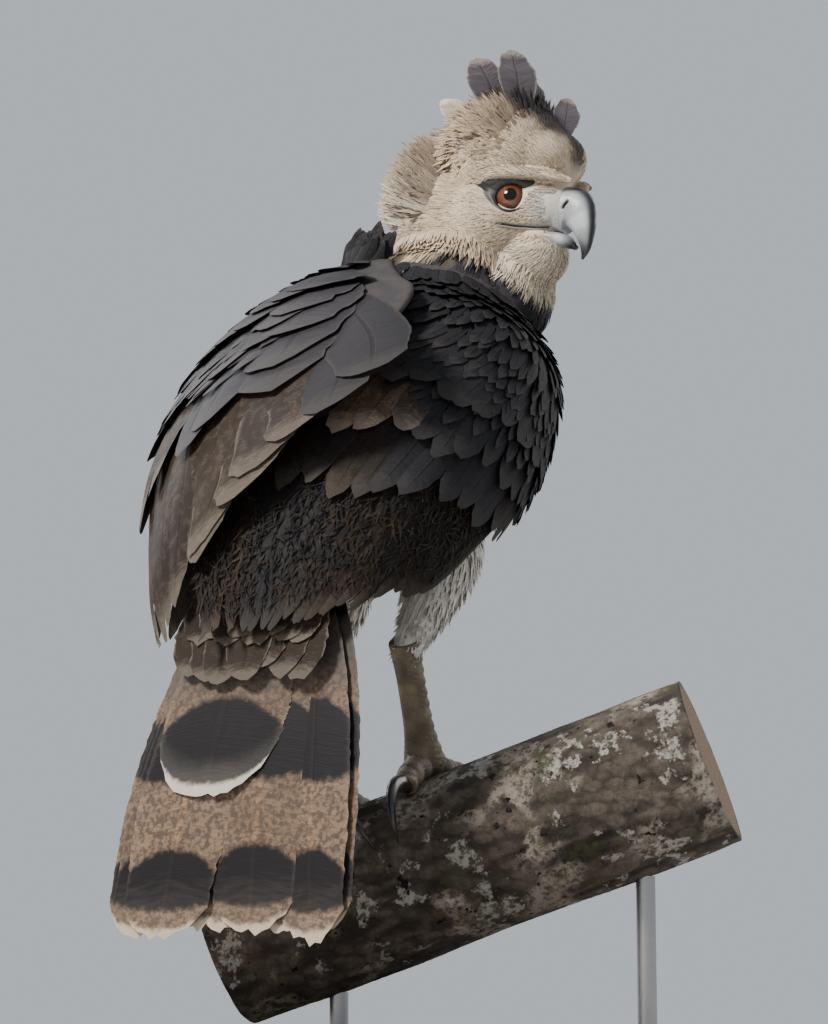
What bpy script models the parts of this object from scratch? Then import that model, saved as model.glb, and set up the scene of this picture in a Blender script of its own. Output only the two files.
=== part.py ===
"""A harpy eagle, life size, gripping a short cut length of branch on a plain display stand.

The bird faces -Y, its left is +X, and its head is turned over its right shoulder. Sizes below are
real millimetres, and places are measured from GRIP, the point of the branch between the two feet.
"""
import math

import bmesh
import bpy
import numpy as np

MM = 0.001
GAP = 0.3  # what touching pieces keep between them

# The stand and the branch
BASE_LENGTH, BASE_WIDTH, BASE_THICK, BASE_CORNER = 520.0, 400.0, 18.0, 60.0
BRANCH_RADIUS = 80.0
BRANCH_RISE = math.radians(19.9)
BRANCH_HEADING = math.radians(198.0)  # horizontal direction of the rising end, from +X
BRANCH_LOW, BRANCH_HIGH = -190.0, 300.0  # ends, along the branch from GRIP
ROD_RADIUS = 9.0
ROD_LOW, ROD_HIGH = -105.0, 205.0
GRIP = np.array((50.0, -30.0, 248.0))  # from the middle of the base's underside

# The trunk and neck: x, y, z, half width, half depth to the back, half depth to the breast
TRUNK = (
    (27, 150, 182, 38, 32, 34),
    (24, 80, 256, 98, 72, 92),
    (12, 14, 350, 132, 88, 118),
    (-9, -42, 440, 117, 81, 112),
    (-38, -67, 506, 79, 70, 80),
    (-40, -72, 546, 66, 62, 66),
)
NECK_STARTS = 0.78  # share of the trunk's curve where the neck begins

# The head, in its own axes: forward, to its left, up, from the point between the eyes
EYES = np.array((-120.0, -68.0, 580.5))
HEAD_TURN = math.radians(98.0)  # to the bird's right, from straight ahead
HEAD_CENTRE = np.array((-45.0, 0.0, 8.0))
HEAD_LOBES = np.array(
    (
        (-88, 0, -14, 58, 60, 76),  # nape
        (-19, 0, 48, 62, 56, 59),  # crown
        (-40, 0, -18, 62, 55, 52),  # cheeks
        (14, 0, -6, 44, 33, 33),  # face
        (38, 0, -10, 24, 17, 22),  # base of the bill
        (24, 0, 38, 42, 36, 32),  # forehead
        (8, 0, -56, 38, 30, 32),  # chin
        (-18, 0, -90, 42, 44, 46),  # throat
    ),
    float,
)
HEAD_GRID = (16, 20)  # rings and points round the head
LOBE_BLEND = 0.32  # per millimetre, larger is a sharper crease between lobes
# Swells and hollows of the face, alike on both sides: place, radius along, radius up, height
FACE_SWELLS = (
    ((3, 40, -1), 15, 11, -8.5),  # eye hollow
    ((28, 26, -4), 13, 9, -3.0),  # lores
    ((-12, 42, -22), 20, 13, 3.5),  # cheek below the eye
    ((-58, 58, 6), 14, 40, -4.0),  # the hollow before the ruff
)
BROW = (  # forward, left, up, radius
    (-28, 43, 16, 2.5),
    (-8, 45, 22, 6.0),
    (11, 42, 21, 6.5),
    (30, 33, 18, 6.0),
    (50, 24, 14, 5.5),
    (66, 16, 8, 3.5),
)
EYE_RADIUS = 17.5
EYE_PLACE = np.array((1.0, 23.5, 0.0))
EYE_GAZE = math.radians(27.0)  # forward of straight sideways
LID_RING = 14.6
LID_THICK = 3.0
# The bill: forward, up, half width, half depth outwards and towards the mouth
BILL_UPPER = (
    (34, -13, 17, 18, 20),
    (52, -14, 15, 21, 24),
    (63, -20, 12.5, 20, 21),
    (69, -33, 9.5, 13.5, 14),
    (71, -47, 6.4, 8, 9),
    (70, -58, 3.6, 4.8, 4.8),
    (66.5, -67, 0.9, 1.1, 1.1),
)
BILL_LOWER = (
    (22, -38, 19, 5, 8),
    (40, -42, 14.5, 6, 8.5),
    (53, -48, 9, 5, 6.5),
    (60, -54, 3.0, 2, 3),
)
NOSTRIL_PLACE = np.array((57.0, 12.5, -13.5))
NOSTRIL_RADII = (5.2, 4.0, 1.8)
NOSTRIL_SLANT = math.radians(48.0)
MOUTH_LINE = ((-2, -29.0), (20, -31), (40, -35), (54, -40))  # forward, up
MOUTH_HALF_HEIGHT = 0.7
MOUTH_DEPTHS = (12, 60)  # how far to the side the line of the mouth starts and ends
# Crest feathers: root forward, left, up; lean back, lean out; half width, length; how far the
# flat side turns to the left
CREST_SUNK = 14.0  # how deep a crest feather's root lies in the head
CREST = (
    (7, -19, 98, 4, 6, 21.0, 70, 0.6),
    (-20, -19, 98, 16, 12, 23.5, 72, 0.6),
    (-56, -18, 86, 34, 14, 19.0, 56, 0.6),
    (-8, 17, 98, 8, 4, 21.0, 66, 0.3),
    (-36, 17, 95, 22, 8, 22.0, 66, 0.3),
    (-60, 18, 84, 44, 14, 18.0, 50, 0.3),
    (28, 26, 79, -6, 10, 14.0, 48, 0.8),
)

# The ruff's rows: how far back it stands, how far its feathers lift, their length, how many
RUFF = ((-66, 0.6, 40, 4), (-98, 0.3, 46, 4))
RUFF_SUNK = 7.0
RUFF_HALF_WIDTH = 23.0

# The folded wings are laid on a sleeve round the trunk: x, y, z, half width of the right and of
# the left wing, half depth to the back for each, half depth to the breast
SLEEVE = (
    (-32, -52, 488, 98, 110, 80, 82, 84),
    (-18, -30, 430, 146, 180, 98, 104, 126),
    (2, 18, 345, 160, 209, 109, 120, 132),
    (16, 78, 255, 150, 198, 100, 112, 96),
    (26, 136, 172, 130, 150, 70, 74, 62),
    (33, 172, 110, 106, 106, 42, 40, 34),
)
SLEEVE_POWER = 2.3
SLEEVE_LENGTH = 470.0
# Each wing's trailing and leading edge, in degrees from the spine, from shoulder to tip
WING_EDGES = {
    "right": ((2, 150), (3, 146), (-16, 142), (-22, 134), (-18, 108), (-8, 78)),
    "left": ((4, 150), (-16, 150), (-16, 148), (2, 142), (28, 130), (50, 112)),
}
WING_CORE = 0.5  # the core's share of the sleeve's length
CORE_THICK = 7.0
CORE_SHOULDER = 62.0  # how much thicker the core is at the shoulder
DROOP = 30.0  # how far the left wing's trailing edge hangs off its sleeve
# Tiers of a wing: feathers, root and tip along the sleeve at the trailing and at the leading
# edge, share of the wing's breadth it spans, half width, height over the core at the tip, and how
# much higher each vane lies than its neighbour towards the leading edge. In this order they are
# the flight feathers, the greater and the median coverts, and the shoulder.
TIERS = (
    (8, (0.44, 1.04), (0.40, 0.76), (0.02, 0.86), 31.0, 1.0, 2.4),
    (6, (0.34, 0.70), (0.28, 0.52), (0.04, 0.90), 34.0, 6.0, 1.5),
    (5, (0.18, 0.50), (0.16, 0.36), (0.12, 0.90), 36.0, 10.5, 0.8),
    (4, (0.03, 0.32), (0.03, 0.22), (0.18, 0.88), 37.0, 15.0, 0.3),
)

# The tail's middle line, then for each of its twelve feathers: place at the tip and at the root
# from the middle to the left, height in the stack, share of the line at its tip, half width. The
# last one is still growing.
TAIL_LINE = ((20, 156, 190), (24, 186, 90), (38, 204, -30), (50, 211, -152))
TAIL_FEATHERS = (
    (100, 46, 0.0, 0.93, 33.0),
    (98, 38, 2.6, 0.945, 33.0),
    (92, 31, 5.2, 0.955, 33.0),
    (72, 22, 7.8, 0.95, 33.0),
    (24, 8, 5.2, 0.94, 33.0),
    (-6, -4, 5.2, 0.945, 33.0),
    (-74, -24, 5.2, 0.955, 33.0),
    (-114, -46, 2.6, 0.95, 33.0),
    (-104, -32, 8.6, 0.975, 38.0),
    (-41, -8, 11.2, 0.955, 49.0),
    (56, 12, 13.8, 0.965, 53.0),
    (3, 0, 18.0, 0.635, 58.0),
)
TAIL_STARTS = 0.03
TAIL_CAMBER = 3.0
# Coverts over the tail's root: place at the root and at the tip, height, share at the tip
TAIL_COVERTS = (
    (40, 60, 24.0, 0.30),
    (20, 33, 26.5, 0.32),
    (0, 6, 29.0, 0.33),
    (-20, -21, 26.5, 0.32),
    (-40, -48, 24.0, 0.30),
)
COVERT_HALF_WIDTH = 25.0
TAIL_CORE = (50, 17, 52)  # half sizes of the tail's root
FEATHER_THICK, EDGE_THICK = 1.3, 0.6

# Legs: ankles and feet, thighs as x, y, z and radius
FOOT_APART = 46.0  # each foot's place along the branch, from GRIP
THIGHS = {
    "right": (
        (-56, 8, 283, 50),
        (-56, -8, 222, 43),
        (-54, 12, 178, 30),
        (-53, 38, 145, 21),
        (-52, 54, 124, 16),
    ),
    "left": (
        (61, 15, 267, 55),
        (65, 4, 196, 48),
        (66, 28, 150, 34),
        (64, 54, 117, 23),
        (62, 70, 96, 16),
    ),
}
TARSUS_RADII = (15.0, 13.0, 13.0, 14.5, 20.0)
# Toes: heading from straight ahead, length round the branch, radius at root and tip, claw length
TOES = {
    "hallux": (161.0, 50.0, 14.5, 10.5, 72.0),
    "inner": (19.0, 62.0, 13.5, 9.5, 54.0),
    "middle": (0.0, 84.0, 12.5, 9.0, 46.0),
    "outer": (-30.0, 64.0, 11.5, 8.5, 38.0),
}

X_AXIS = np.array((1.0, 0.0, 0.0))
UP = np.array((0.0, 0.0, 1.0))
SIDES = {"left": 1.0, "right": -1.0}


def unit(vectors):
    return vectors / np.linalg.norm(vectors, axis=-1, keepdims=True)


def spline(keys, t):
    """The smooth curve through the rows of keys, read at t from 0 to 1."""
    keys = np.asarray(keys, float)
    last = len(keys) - 1
    x = np.asarray(t, float) * last
    i = np.clip(x.astype(int), 0, last - 1)
    f = (x - i)[..., None]
    ends = np.vstack((2 * keys[0] - keys[1], keys, 2 * keys[-1] - keys[-2]))
    a, b, c, d = (ends[i + k] for k in range(4))
    return b + 0.5 * f * (c - a + f * (2 * a - 5 * b + 4 * c - d + f * (3 * (b - c) + d - a)))


def along(path, hint):
    """Unit vectors along a path, to its side near hint, and to its back."""
    tangent = unit(np.gradient(path, axis=0))
    side = unit(hint - (tangent @ hint)[:, None] * tangent)
    return tangent, side, np.cross(tangent, side)


def rounded(angle, power):
    """Sine and cosine of an angle on a superellipse, squarer as power grows."""
    s, c = np.sin(angle), np.cos(angle)
    return np.sign(s) * abs(s) ** (2 / power), np.sign(c) * abs(c) ** (2 / power)


def ring_faces(rings, around):
    """Quads between rings of points, then a fan to one more point at each end."""
    faces = []
    for r in range(rings - 1):
        for k in range(around):
            n = (k + 1) % around
            faces.append((r * around + k, r * around + n, (r + 1) * around + n, (r + 1) * around + k))
    first, last = rings * around, rings * around + 1
    for k in range(around):
        n = (k + 1) % around
        faces.append((first, n, k))
        faces.append((last, (rings - 1) * around + k, (rings - 1) * around + n))
    return faces


def capped(grid):
    """A closed shape from rings of points, its ends filled from their middles."""
    rings, around = grid.shape[:2]
    ends = np.array((grid[0].mean(0), grid[-1].mean(0)))
    return np.vstack((grid.reshape(-1, 3), ends)), ring_faces(rings, around)


def loft_grid(keys, rings, around, hint=X_AXIS, power=2.0, start=0.0, stop=1.0):
    """Rings along the curve of keys: x, y, z, half width, half depth to the back and to the front."""
    rows = spline(keys, np.linspace(start, stop, rings))
    path = rows[:, :3]
    wide, behind, front = rows[:, 3:].T
    _, side, back = along(path, hint)
    s, c = rounded(np.linspace(0, 2 * math.pi, around, endpoint=False), power)
    deep = np.where(c > 0, behind[:, None], front[:, None]) * c
    return path[:, None] + (wide[:, None] * s)[..., None] * side[:, None] + deep[..., None] * back[:, None]


def loft(keys, rings, around, **how):
    return capped(loft_grid(keys, rings, around, **how))


def ball(centre, radii, axes=np.eye(3), rings=8, around=12):
    """An ellipsoid, its poles on its third axis."""
    lat = np.linspace(0, math.pi, rings + 1)[1:-1]
    lon = np.linspace(0, 2 * math.pi, around, endpoint=False)
    local = np.stack(
        (
            np.sin(lat)[:, None] * np.cos(lon),
            np.sin(lat)[:, None] * np.sin(lon),
            np.repeat(np.cos(lat)[:, None], around, 1),
        ),
        -1,
    )
    poles = np.array(((0, 0, 1.0), (0, 0, -1.0)))
    points = np.vstack((local.reshape(-1, 3), poles)) * radii @ np.asarray(axes) + centre
    return points, ring_faces(rings - 1, around)


def mesh_of(name, shape):
    """A mesh of one closed shape, in metres in the row's frame, with its faces pointing out."""
    points, faces = shape
    mesh = bpy.data.meshes.new(name)
    mesh.from_pydata([tuple(p) for p in (np.asarray(points) + GRIP) * MM], [], faces)
    whole = bmesh.new()
    whole.from_mesh(mesh)
    bmesh.ops.remove_doubles(whole, verts=whole.verts, dist=1e-6)
    bmesh.ops.triangulate(whole, faces=whole.faces)
    bmesh.ops.recalc_face_normals(whole, faces=whole.faces)
    if whole.calc_volume(signed=True) < 0:
        bmesh.ops.reverse_faces(whole, faces=whole.faces)
    whole.to_mesh(mesh)
    whole.free()
    return mesh


def loose_object(name, mesh):
    made = bpy.data.objects.new(name, mesh)
    bpy.context.scene.collection.objects.link(made)
    return made


def piece(shape, name="piece"):
    return loose_object(name, mesh_of(name, shape))


def is_closed(mesh):
    whole = bmesh.new()
    whole.from_mesh(mesh)
    closed = bool(whole.faces) and all(edge.is_manifold for edge in whole.edges)
    whole.free()
    return closed


def combine(body, others, operation):
    """One Boolean of body with all the others, which are then removed."""
    group = bpy.data.collections.new("operands")
    bpy.context.scene.collection.children.link(group)
    for other in others:
        bpy.context.scene.collection.objects.unlink(other)
        group.objects.link(other)
    before = body.data
    for solver in ("MANIFOLD", "EXACT"):
        body.data = before.copy()
        cut = body.modifiers.new("combine", "BOOLEAN")
        cut.operation = operation
        cut.operand_type = "COLLECTION"
        cut.collection = group
        cut.solver = solver
        graph = bpy.context.evaluated_depsgraph_get()
        made = bpy.data.meshes.new_from_object(body.evaluated_get(graph), depsgraph=graph)
        body.modifiers.remove(cut)
        body.data = made
        if is_closed(made):
            break
    for other in others:
        bpy.data.objects.remove(other)
    bpy.data.collections.remove(group)
    keep_largest(body)
    return body


def six_volumes(face):
    """Six times the volume between a triangle and the origin."""
    a, b, c = (corner.co for corner in face.verts)
    return a.dot(b.cross(c))


def keep_largest(body):
    """Drops every closed surface of a mesh but the largest."""
    whole = bmesh.new()
    whole.from_mesh(body.data)
    bmesh.ops.triangulate(whole, faces=whole.faces)
    unseen = set(whole.faces)
    islands = []
    while unseen:
        queue = [unseen.pop()]
        island = []
        while queue:
            face = queue.pop()
            island.append(face)
            for edge in face.edges:
                for near in edge.link_faces:
                    if near in unseen:
                        unseen.remove(near)
                        queue.append(near)
        islands.append(island)
    islands.sort(key=lambda island: abs(sum(six_volumes(face) for face in island)))
    spare = {face for island in islands[:-1] for face in island}
    bmesh.ops.delete(whole, geom=list(spare), context="FACES")
    bmesh.ops.delete(whole, geom=[v for v in whole.verts if not v.link_faces], context="VERTS")
    whole.to_mesh(body.data)
    whole.free()


def swollen(other, gap=GAP):
    """A copy of an object's surface moved outwards by a gap, as a cutter."""
    mesh = other.data.copy()
    whole = bmesh.new()
    whole.from_mesh(mesh)
    whole.normal_update()
    moves = [(v, v.normal * v.calc_shell_factor() * gap * MM) for v in whole.verts]
    for v, move in moves:
        v.co += move if move.length < 3 * gap * MM else move.normalized() * 3 * gap * MM
    whole.to_mesh(mesh)
    whole.free()
    return loose_object("cutter", mesh)


def fuse(shapes, name="piece"):
    """The union of closed shapes as one object. The first is what the rest grow from."""
    body = piece(shapes[0], name)
    if len(shapes) > 1:
        combine(body, [piece(shape) for shape in shapes[1:]], "UNION")
    return body


def clear_of(body, *others):
    """Cuts a body back from others that it touches, so that they meet face to face."""
    return combine(body, [swollen(other) for other in others], "DIFFERENCE")


def material(name, colour, roughness, metallic=0.0):
    made = bpy.data.materials.new(name)
    made.use_nodes = True
    shader = made.node_tree.nodes["Principled BSDF"]
    shader.inputs["Base Color"].default_value = (*colour, 1.0)
    shader.inputs["Roughness"].default_value = roughness
    shader.inputs["Metallic"].default_value = metallic
    return made


def finish(body, name, root, made_of, parent):
    """Names a node, moves its origin to its root, and gives it its material and smooth shading."""
    root = (np.asarray(root, float) + GRIP) * MM
    points = np.empty(len(body.data.vertices) * 3, np.float32)
    body.data.vertices.foreach_get("co", points)
    body.data.vertices.foreach_set("co", (points.reshape(-1, 3) - root).astype(np.float32).ravel())
    body.location = root
    body.name = body.data.name = name
    body.data.materials.clear()
    body.data.materials.append(made_of)
    body.data.shade_smooth()
    body.data.set_sharp_from_angle(angle=math.radians(40))
    body.parent = parent
    return body


def feather(place, length_keys, half_width, rise, tilt=0.0, thick=FEATHER_THICK):
    """One closed vane, six points to a ring, rounded at its tip.

    place(t, w, h) gives a point at t along the vane, w across it in millimetres and h above it.
    length_keys are the shares of its length where it has rings.
    """
    rings = []
    for t in length_keys:
        wide = half_width * vane_outline(t)
        body = max(0.5 * thick * (1.15 - 0.5 * t), 0.3)
        edge = max(0.5 * EDGE_THICK, 0.3)
        h = rise(t)
        rings.append(
            [
                place(t, -wide, h - tilt + edge),
                place(t, 0.0, h + body),
                place(t, wide, h + tilt + edge),
                place(t, wide, h + tilt - edge),
                place(t, 0.0, h - body),
                place(t, -wide, h - tilt - edge),
            ]
        )
    points = np.array(rings).reshape(-1, 3)
    faces = []
    for r in range(len(rings) - 1):
        a, b = 6 * r, 6 * (r + 1)
        for left, right in ((0, 1), (2, 1), (5, 4), (3, 4)):  # upper then lower face, split alike
            faces.append((a + left, a + right, b + right))
            faces.append((a + left, b + right, b + left))
        for top, low in ((0, 5), (2, 3)):
            faces.append((a + top, a + low, b + low))
            faces.append((a + top, b + low, b + top))
    for a in (0, 6 * (len(rings) - 1)):
        faces += [(a, a + 1, a + 4), (a, a + 4, a + 5), (a + 1, a + 2, a + 3), (a + 1, a + 3, a + 4)]
    return points, faces


def vane_outline(t):
    """Half width of a vane at t, as a share of its widest: narrow quill, broad blade, round tip."""
    swell = 0.34 + 0.66 * math.sin(min(t / 0.62, 1.0) * math.pi / 2) ** 0.8
    blunt = max(0.0, (t - 0.72) / 0.28)
    return swell * math.sqrt(max(1 - 0.86 * blunt * blunt, 0.1))


# Places on the branch

BRANCH_ALONG = np.array(
    (
        math.cos(BRANCH_RISE) * math.cos(BRANCH_HEADING),
        math.cos(BRANCH_RISE) * math.sin(BRANCH_HEADING),
        math.sin(BRANCH_RISE),
    )
)
BRANCH_UP = unit(UP - (UP @ BRANCH_ALONG) * BRANCH_ALONG)
BRANCH_FRONT = np.cross(BRANCH_UP, BRANCH_ALONG)


def branch_radius(s, angle):
    """The branch's radius at s along it from GRIP, at an angle from its top towards the front."""
    swell = 3.0 * np.sin(s / 61 + 2 * np.sin(angle)) * np.sin(angle) ** 2
    ridges = 1.2 * np.sin(5 * angle + s / 43) * np.sin(angle / 2) ** 2
    return BRANCH_RADIUS + swell + ridges


def on_branch(s, angle, height=0.0):
    """A point over the bark: s along from GRIP, angle from the top towards the front, height."""
    s, angle = np.asarray(s, float), np.asarray(angle, float)
    out = branch_radius(s, angle) + height
    rise = (out * np.cos(angle) - BRANCH_RADIUS)[..., None] * BRANCH_UP
    return s[..., None] * BRANCH_ALONG + rise + (out * np.sin(angle))[..., None] * BRANCH_FRONT


def make_branch():
    s = np.linspace(BRANCH_LOW, BRANCH_HIGH, 9)[:, None]
    angle = np.linspace(0, 2 * math.pi, 18, endpoint=False)
    return piece(capped(on_branch(s, angle)))


# The trunk, neck, thighs and shanks


def make_trunk():
    torso = piece(loft(TRUNK, 12, 18, stop=NECK_STARTS))
    neck = clear_of(piece(loft(TRUNK, 4, 18, start=NECK_STARTS - 0.004)), torso)
    return torso, neck


def make_thigh(side):
    keys = [(x, y, z, r, r, r) for x, y, z, r in THIGHS[side]]
    return piece(loft(keys, 7, 12))


def scuted(keys, scutes, around, height, hint):
    """A loft whose back side is stepped into broad overlapping plates."""
    shares = np.repeat(np.arange(scutes + 1), 2)[1:-1] / scutes
    shares[1::2] -= 0.12 / scutes
    shares[-1] = 1.0
    rows = spline(keys, shares)
    path = rows[:, :3]
    _, across, back = along(path, hint)
    angle = np.linspace(0, 2 * math.pi, around, endpoint=False)
    plate = np.where(np.arange(len(shares)) % 2, 1.0, 0.0)[:, None] * height
    out = rows[:, 3:4] + plate * np.clip(np.cos(angle) * 1.6 + 0.2, 0, 1)
    sideways = (out * np.sin(angle))[..., None] * across[:, None]
    return capped(path[:, None] + sideways + (out * np.cos(angle))[..., None] * back[:, None])


def foot_place(side):
    """Where a foot stands: its place along the branch, and its middle a little over the bark."""
    s = -SIDES[side] * FOOT_APART
    return s, on_branch(s, 0.0, 15.0)


def ankle(side):
    return np.array(THIGHS[side][-1][:3], float)


def make_shank(side):
    top = ankle(side) + (0, 0, -1)
    _, bottom = foot_place(side)
    path = top + (bottom - top) * np.linspace(0, 1, 5)[:, None]
    keys = np.column_stack((path, TARSUS_RADII))
    return piece(scuted(keys, 7, 8, 1.6, X_AXIS))


# The feet


def toe_line(side, toe, shares):
    """A toe's middle line on the bark, and the way out from the bark along it."""
    heading, length, thick, thin, _ = TOES[toe]
    s0, _ = foot_place(side)
    turn = math.radians(heading) * SIDES[side]
    reach = length * shares
    s = s0 + reach * math.sin(turn) + 0.0 * shares
    angle = reach * math.cos(turn) / BRANCH_RADIUS
    radius = thick + (thin - thick) * shares
    knuckles = 1.5 * np.sin(shares * 3 * math.pi) ** 2
    points = on_branch(s, angle, 0.8 * radius + knuckles)
    out = on_branch(s, angle, 1.0) - on_branch(s, angle, 0.0)
    return points, out, radius


def make_foot(side):
    _, middle = foot_place(side)
    shapes = [ball(middle - (0, 0, 2), (19, 19, 15), rings=6, around=12)]
    for toe in TOES:
        points, out, radius = toe_line(side, toe, np.linspace(0.06, 1, 7))
        keys = np.column_stack((points, radius))
        hint = np.cross(out[0], points[-1] - points[0])
        shapes.append(scuted(keys, 4, 8, 1.2, hint))
    return fuse(shapes)


def make_claw(side, toe):
    """A claw: a curved cone that leaves the toe high and comes down to the bark."""
    heading, length, _, thin, claw = TOES[toe]
    s0, _ = foot_place(side)
    turn = math.radians(heading) * SIDES[side]
    shares = np.linspace(0, 1, 6)
    reach = length - 3 + claw * 0.86 * shares
    height = thin * 0.85 + claw * 0.36 * np.sin(shares * 2.6) - (thin * 0.85 + claw * 0.16) * shares**1.6
    s = s0 + reach * math.sin(turn)
    angle = reach * math.cos(turn) / BRANCH_RADIUS
    points = on_branch(s, angle, height)
    thick = thin * 0.84 * (1 - shares) ** 0.75 + 0.5
    keys = np.column_stack((points, thick * 0.82, thick, thick))
    out = on_branch(s[:1], angle[:1], 1.0) - on_branch(s[:1], angle[:1], 0.0)
    return piece(loft(keys, 6, 8, hint=np.cross(points[1] - points[0], out[0])))


# The head

HEAD_AXES = np.array(
    (
        (-math.sin(HEAD_TURN), -math.cos(HEAD_TURN), 0.0),
        (math.cos(HEAD_TURN), -math.sin(HEAD_TURN), 0.0),
        (0.0, 0.0, 1.0),
    )
)


def from_head(points):
    return np.asarray(points) @ HEAD_AXES + EYES


def on_head(shape):
    points, faces = shape
    return from_head(points), faces


def head_reach(ways):
    """How far the head's surface lies from HEAD_CENTRE along unit vectors."""
    centres, radii = HEAD_LOBES[:, :3], HEAD_LOBES[:, 3:]
    start = (HEAD_CENTRE - centres) / radii
    ray = ways[..., None, :] / radii
    a = (ray**2).sum(-1)
    b = (ray * start).sum(-1)
    c = (start**2).sum(-1) - 1
    inside = b * b - a * c
    reach = np.where(inside > 0, (-b + np.sqrt(np.maximum(inside, 0))) / a, 0.0)
    reach = np.log(np.exp(LOBE_BLEND * reach).sum(-1)) / LOBE_BLEND
    points = HEAD_CENTRE + ways * reach[..., None]
    for (x, y, z), broad, tall, height in FACE_SWELLS:
        dx = (points[..., 0] - x) / broad
        dy = (abs(points[..., 1]) - y) / 25
        dz = (points[..., 2] - z) / tall
        reach = reach + height * np.exp(-(dx**2 + dy**2 + dz**2))
    return reach


def head_surface(rings, around):
    lat = np.linspace(0, math.pi, rings + 1)[1:-1, None]
    lon = np.linspace(0, 2 * math.pi, around, endpoint=False)
    ways = np.stack(
        (
            np.cos(lat) + 0 * lon,
            np.sin(lat) * np.sin(lon),
            np.sin(lat) * np.cos(lon),
        ),
        -1,
    )
    poles = np.array(((1.0, 0, 0), (-1.0, 0, 0)))
    ways = np.vstack((ways.reshape(-1, 3), poles))
    return HEAD_CENTRE + ways * head_reach(ways)[:, None], ring_faces(rings - 1, around)


def eye_axes(sign):
    """Across, up and out of an eye, in the head's axes."""
    out = np.array((math.sin(EYE_GAZE), sign * math.cos(EYE_GAZE), 0.0))
    return np.array((np.cross(UP, out), UP, out))


def make_eye(sign):
    return piece(on_head(ball(EYE_PLACE * (1, sign, 1), np.repeat(EYE_RADIUS, 3), eye_axes(sign), 8, 14)))


def lid_shape(sign):
    """A ring of skin round the eye, flatter above and drawn out to its corners."""
    axes = eye_axes(sign)
    turn = np.linspace(0, 2 * math.pi, 14, endpoint=False)
    tube = np.linspace(0, 2 * math.pi, 4, endpoint=False)
    across = LID_RING * 1.12 * np.cos(turn)
    up = LID_RING * np.where(np.sin(turn) > 0, 0.8, 0.92) * np.sin(turn)
    centre = np.stack((across, up, np.sqrt(EYE_RADIUS**2 - LID_RING**2 * 0.62) + 0 * turn), -1)
    outwards = unit(centre * (1, 1, 0))
    grid = centre[:, None] + LID_THICK * (
        np.cos(tube)[None, :, None] * outwards[:, None] + np.sin(tube)[None, :, None] * UP
    )
    points = grid.reshape(-1, 3) @ axes + EYE_PLACE * (1, sign, 1)
    count, sides = len(turn), len(tube)
    faces = []
    for i in range(count):
        for j in range(sides):
            n, m = (i + 1) % count, (j + 1) % sides
            faces.append((i * sides + j, i * sides + m, n * sides + m, n * sides + j))
    return points, faces


def brow_shape(sign):
    rows = [(x, sign * y, z, r, r, r) for x, y, z, r in BROW]
    return loft(rows, 7, 6, hint=UP)


def bill_loft(keys, rings, around, power=2.0):
    rows = [(x, 0, z, w, up, down) for x, z, w, up, down in keys]
    return on_head(loft(rows, rings, around, hint=np.array((0, 1.0, 0)), power=power))


def mouth_cut(sign):
    """The cutter for the line of the mouth on one side of the face."""
    near, far = MOUTH_DEPTHS
    h = MOUTH_HALF_HEIGHT
    corners = ((near, h), (far, h), (far, -h), (near, -h))
    rings = [[(x, sign * y, z + rise) for y, rise in corners] for x, z in MOUTH_LINE]
    return on_head(capped(np.array(rings, float)))


def standing_vane(root, way, face, length, half_width, bend, camber, tilt=0.0):
    """A vane that stands free: it leaves root along way, with its upper face towards face."""
    way = unit(way)
    face = unit(face - (face @ way) * way)
    across = np.cross(way, face)
    keys = (0, 0.45, 0.8, 1.0)

    def place(t, w, h):
        drop = camber * (w / half_width) ** 2
        return root + way * length * t + across * w + face * (h - drop + bend * t * t)

    return feather(place, keys, half_width, lambda t: 0.0, tilt)


def crest_vanes():
    for x, y, z, back, lean, wide, length, skew in CREST:
        back, lean = math.radians(back), math.radians(lean)
        way = np.array((-math.sin(back), math.copysign(math.sin(lean), y), math.cos(back)))
        face = np.array((-math.cos(back), skew, -math.sin(back)))
        root = np.array((x, y, z)) - CREST_SUNK * unit(way)
        yield on_head(standing_vane(root, way, face, length, wide, 5.0, 4.0))


def ruff_vanes():
    """Two rows of broad feathers round the back of the head, their tips lifted."""
    for row, (back, lift, length, count) in enumerate(RUFF):
        for k in range(count):
            turn = math.radians(-60 + 120 * k / (count - 1) + 12 * row)
            way = unit(np.array((-0.15 - 0.5 * row, math.sin(turn), math.cos(turn))))
            root = HEAD_CENTRE + way * head_reach(way[None])[0]
            root = root + (back - root[0]) * 0.5 * X_AXIS
            lie = unit(np.array((-1.0, 0, 0)) + lift * way)
            root = root - RUFF_SUNK * way
            yield on_head(standing_vane(root, lie, way, length, RUFF_HALF_WIDTH, 3.0, 1.0, 1.2))


def make_bare_head():
    return piece(on_head(head_surface(*HEAD_GRID)))


def make_head(eyes, bill):
    shapes = [on_head(head_surface(*HEAD_GRID))]
    shapes += [on_head(lid_shape(sign)) for sign in (1, -1)]
    shapes += [on_head(brow_shape(sign)) for sign in (1, -1)]
    shapes += list(crest_vanes())
    shapes += list(ruff_vanes())
    head = fuse(shapes)
    cutters = [swollen(other) for other in (*eyes, *bill)]
    cutters += [piece(mouth_cut(sign)) for sign in (1, -1)]
    return combine(head, cutters, "DIFFERENCE")


def make_bill():
    upper = piece(bill_loft(BILL_UPPER, 9, 12, power=2.2))
    lower = piece(bill_loft(BILL_LOWER, 7, 12))
    slant = NOSTRIL_SLANT
    axes = np.array(
        (
            (math.cos(slant), 0, math.sin(slant)),
            (0, 1, 0),
            (-math.sin(slant), 0, math.cos(slant)),
        )
    )
    holes = [
        piece(on_head(ball(NOSTRIL_PLACE * (1, sign, 1), NOSTRIL_RADII, axes, 6, 8)))
        for sign in (1, -1)
    ]
    combine(upper, holes, "DIFFERENCE")
    combine(lower, [swollen(upper, 0.9)], "DIFFERENCE")
    return upper, lower


# The wings


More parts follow.
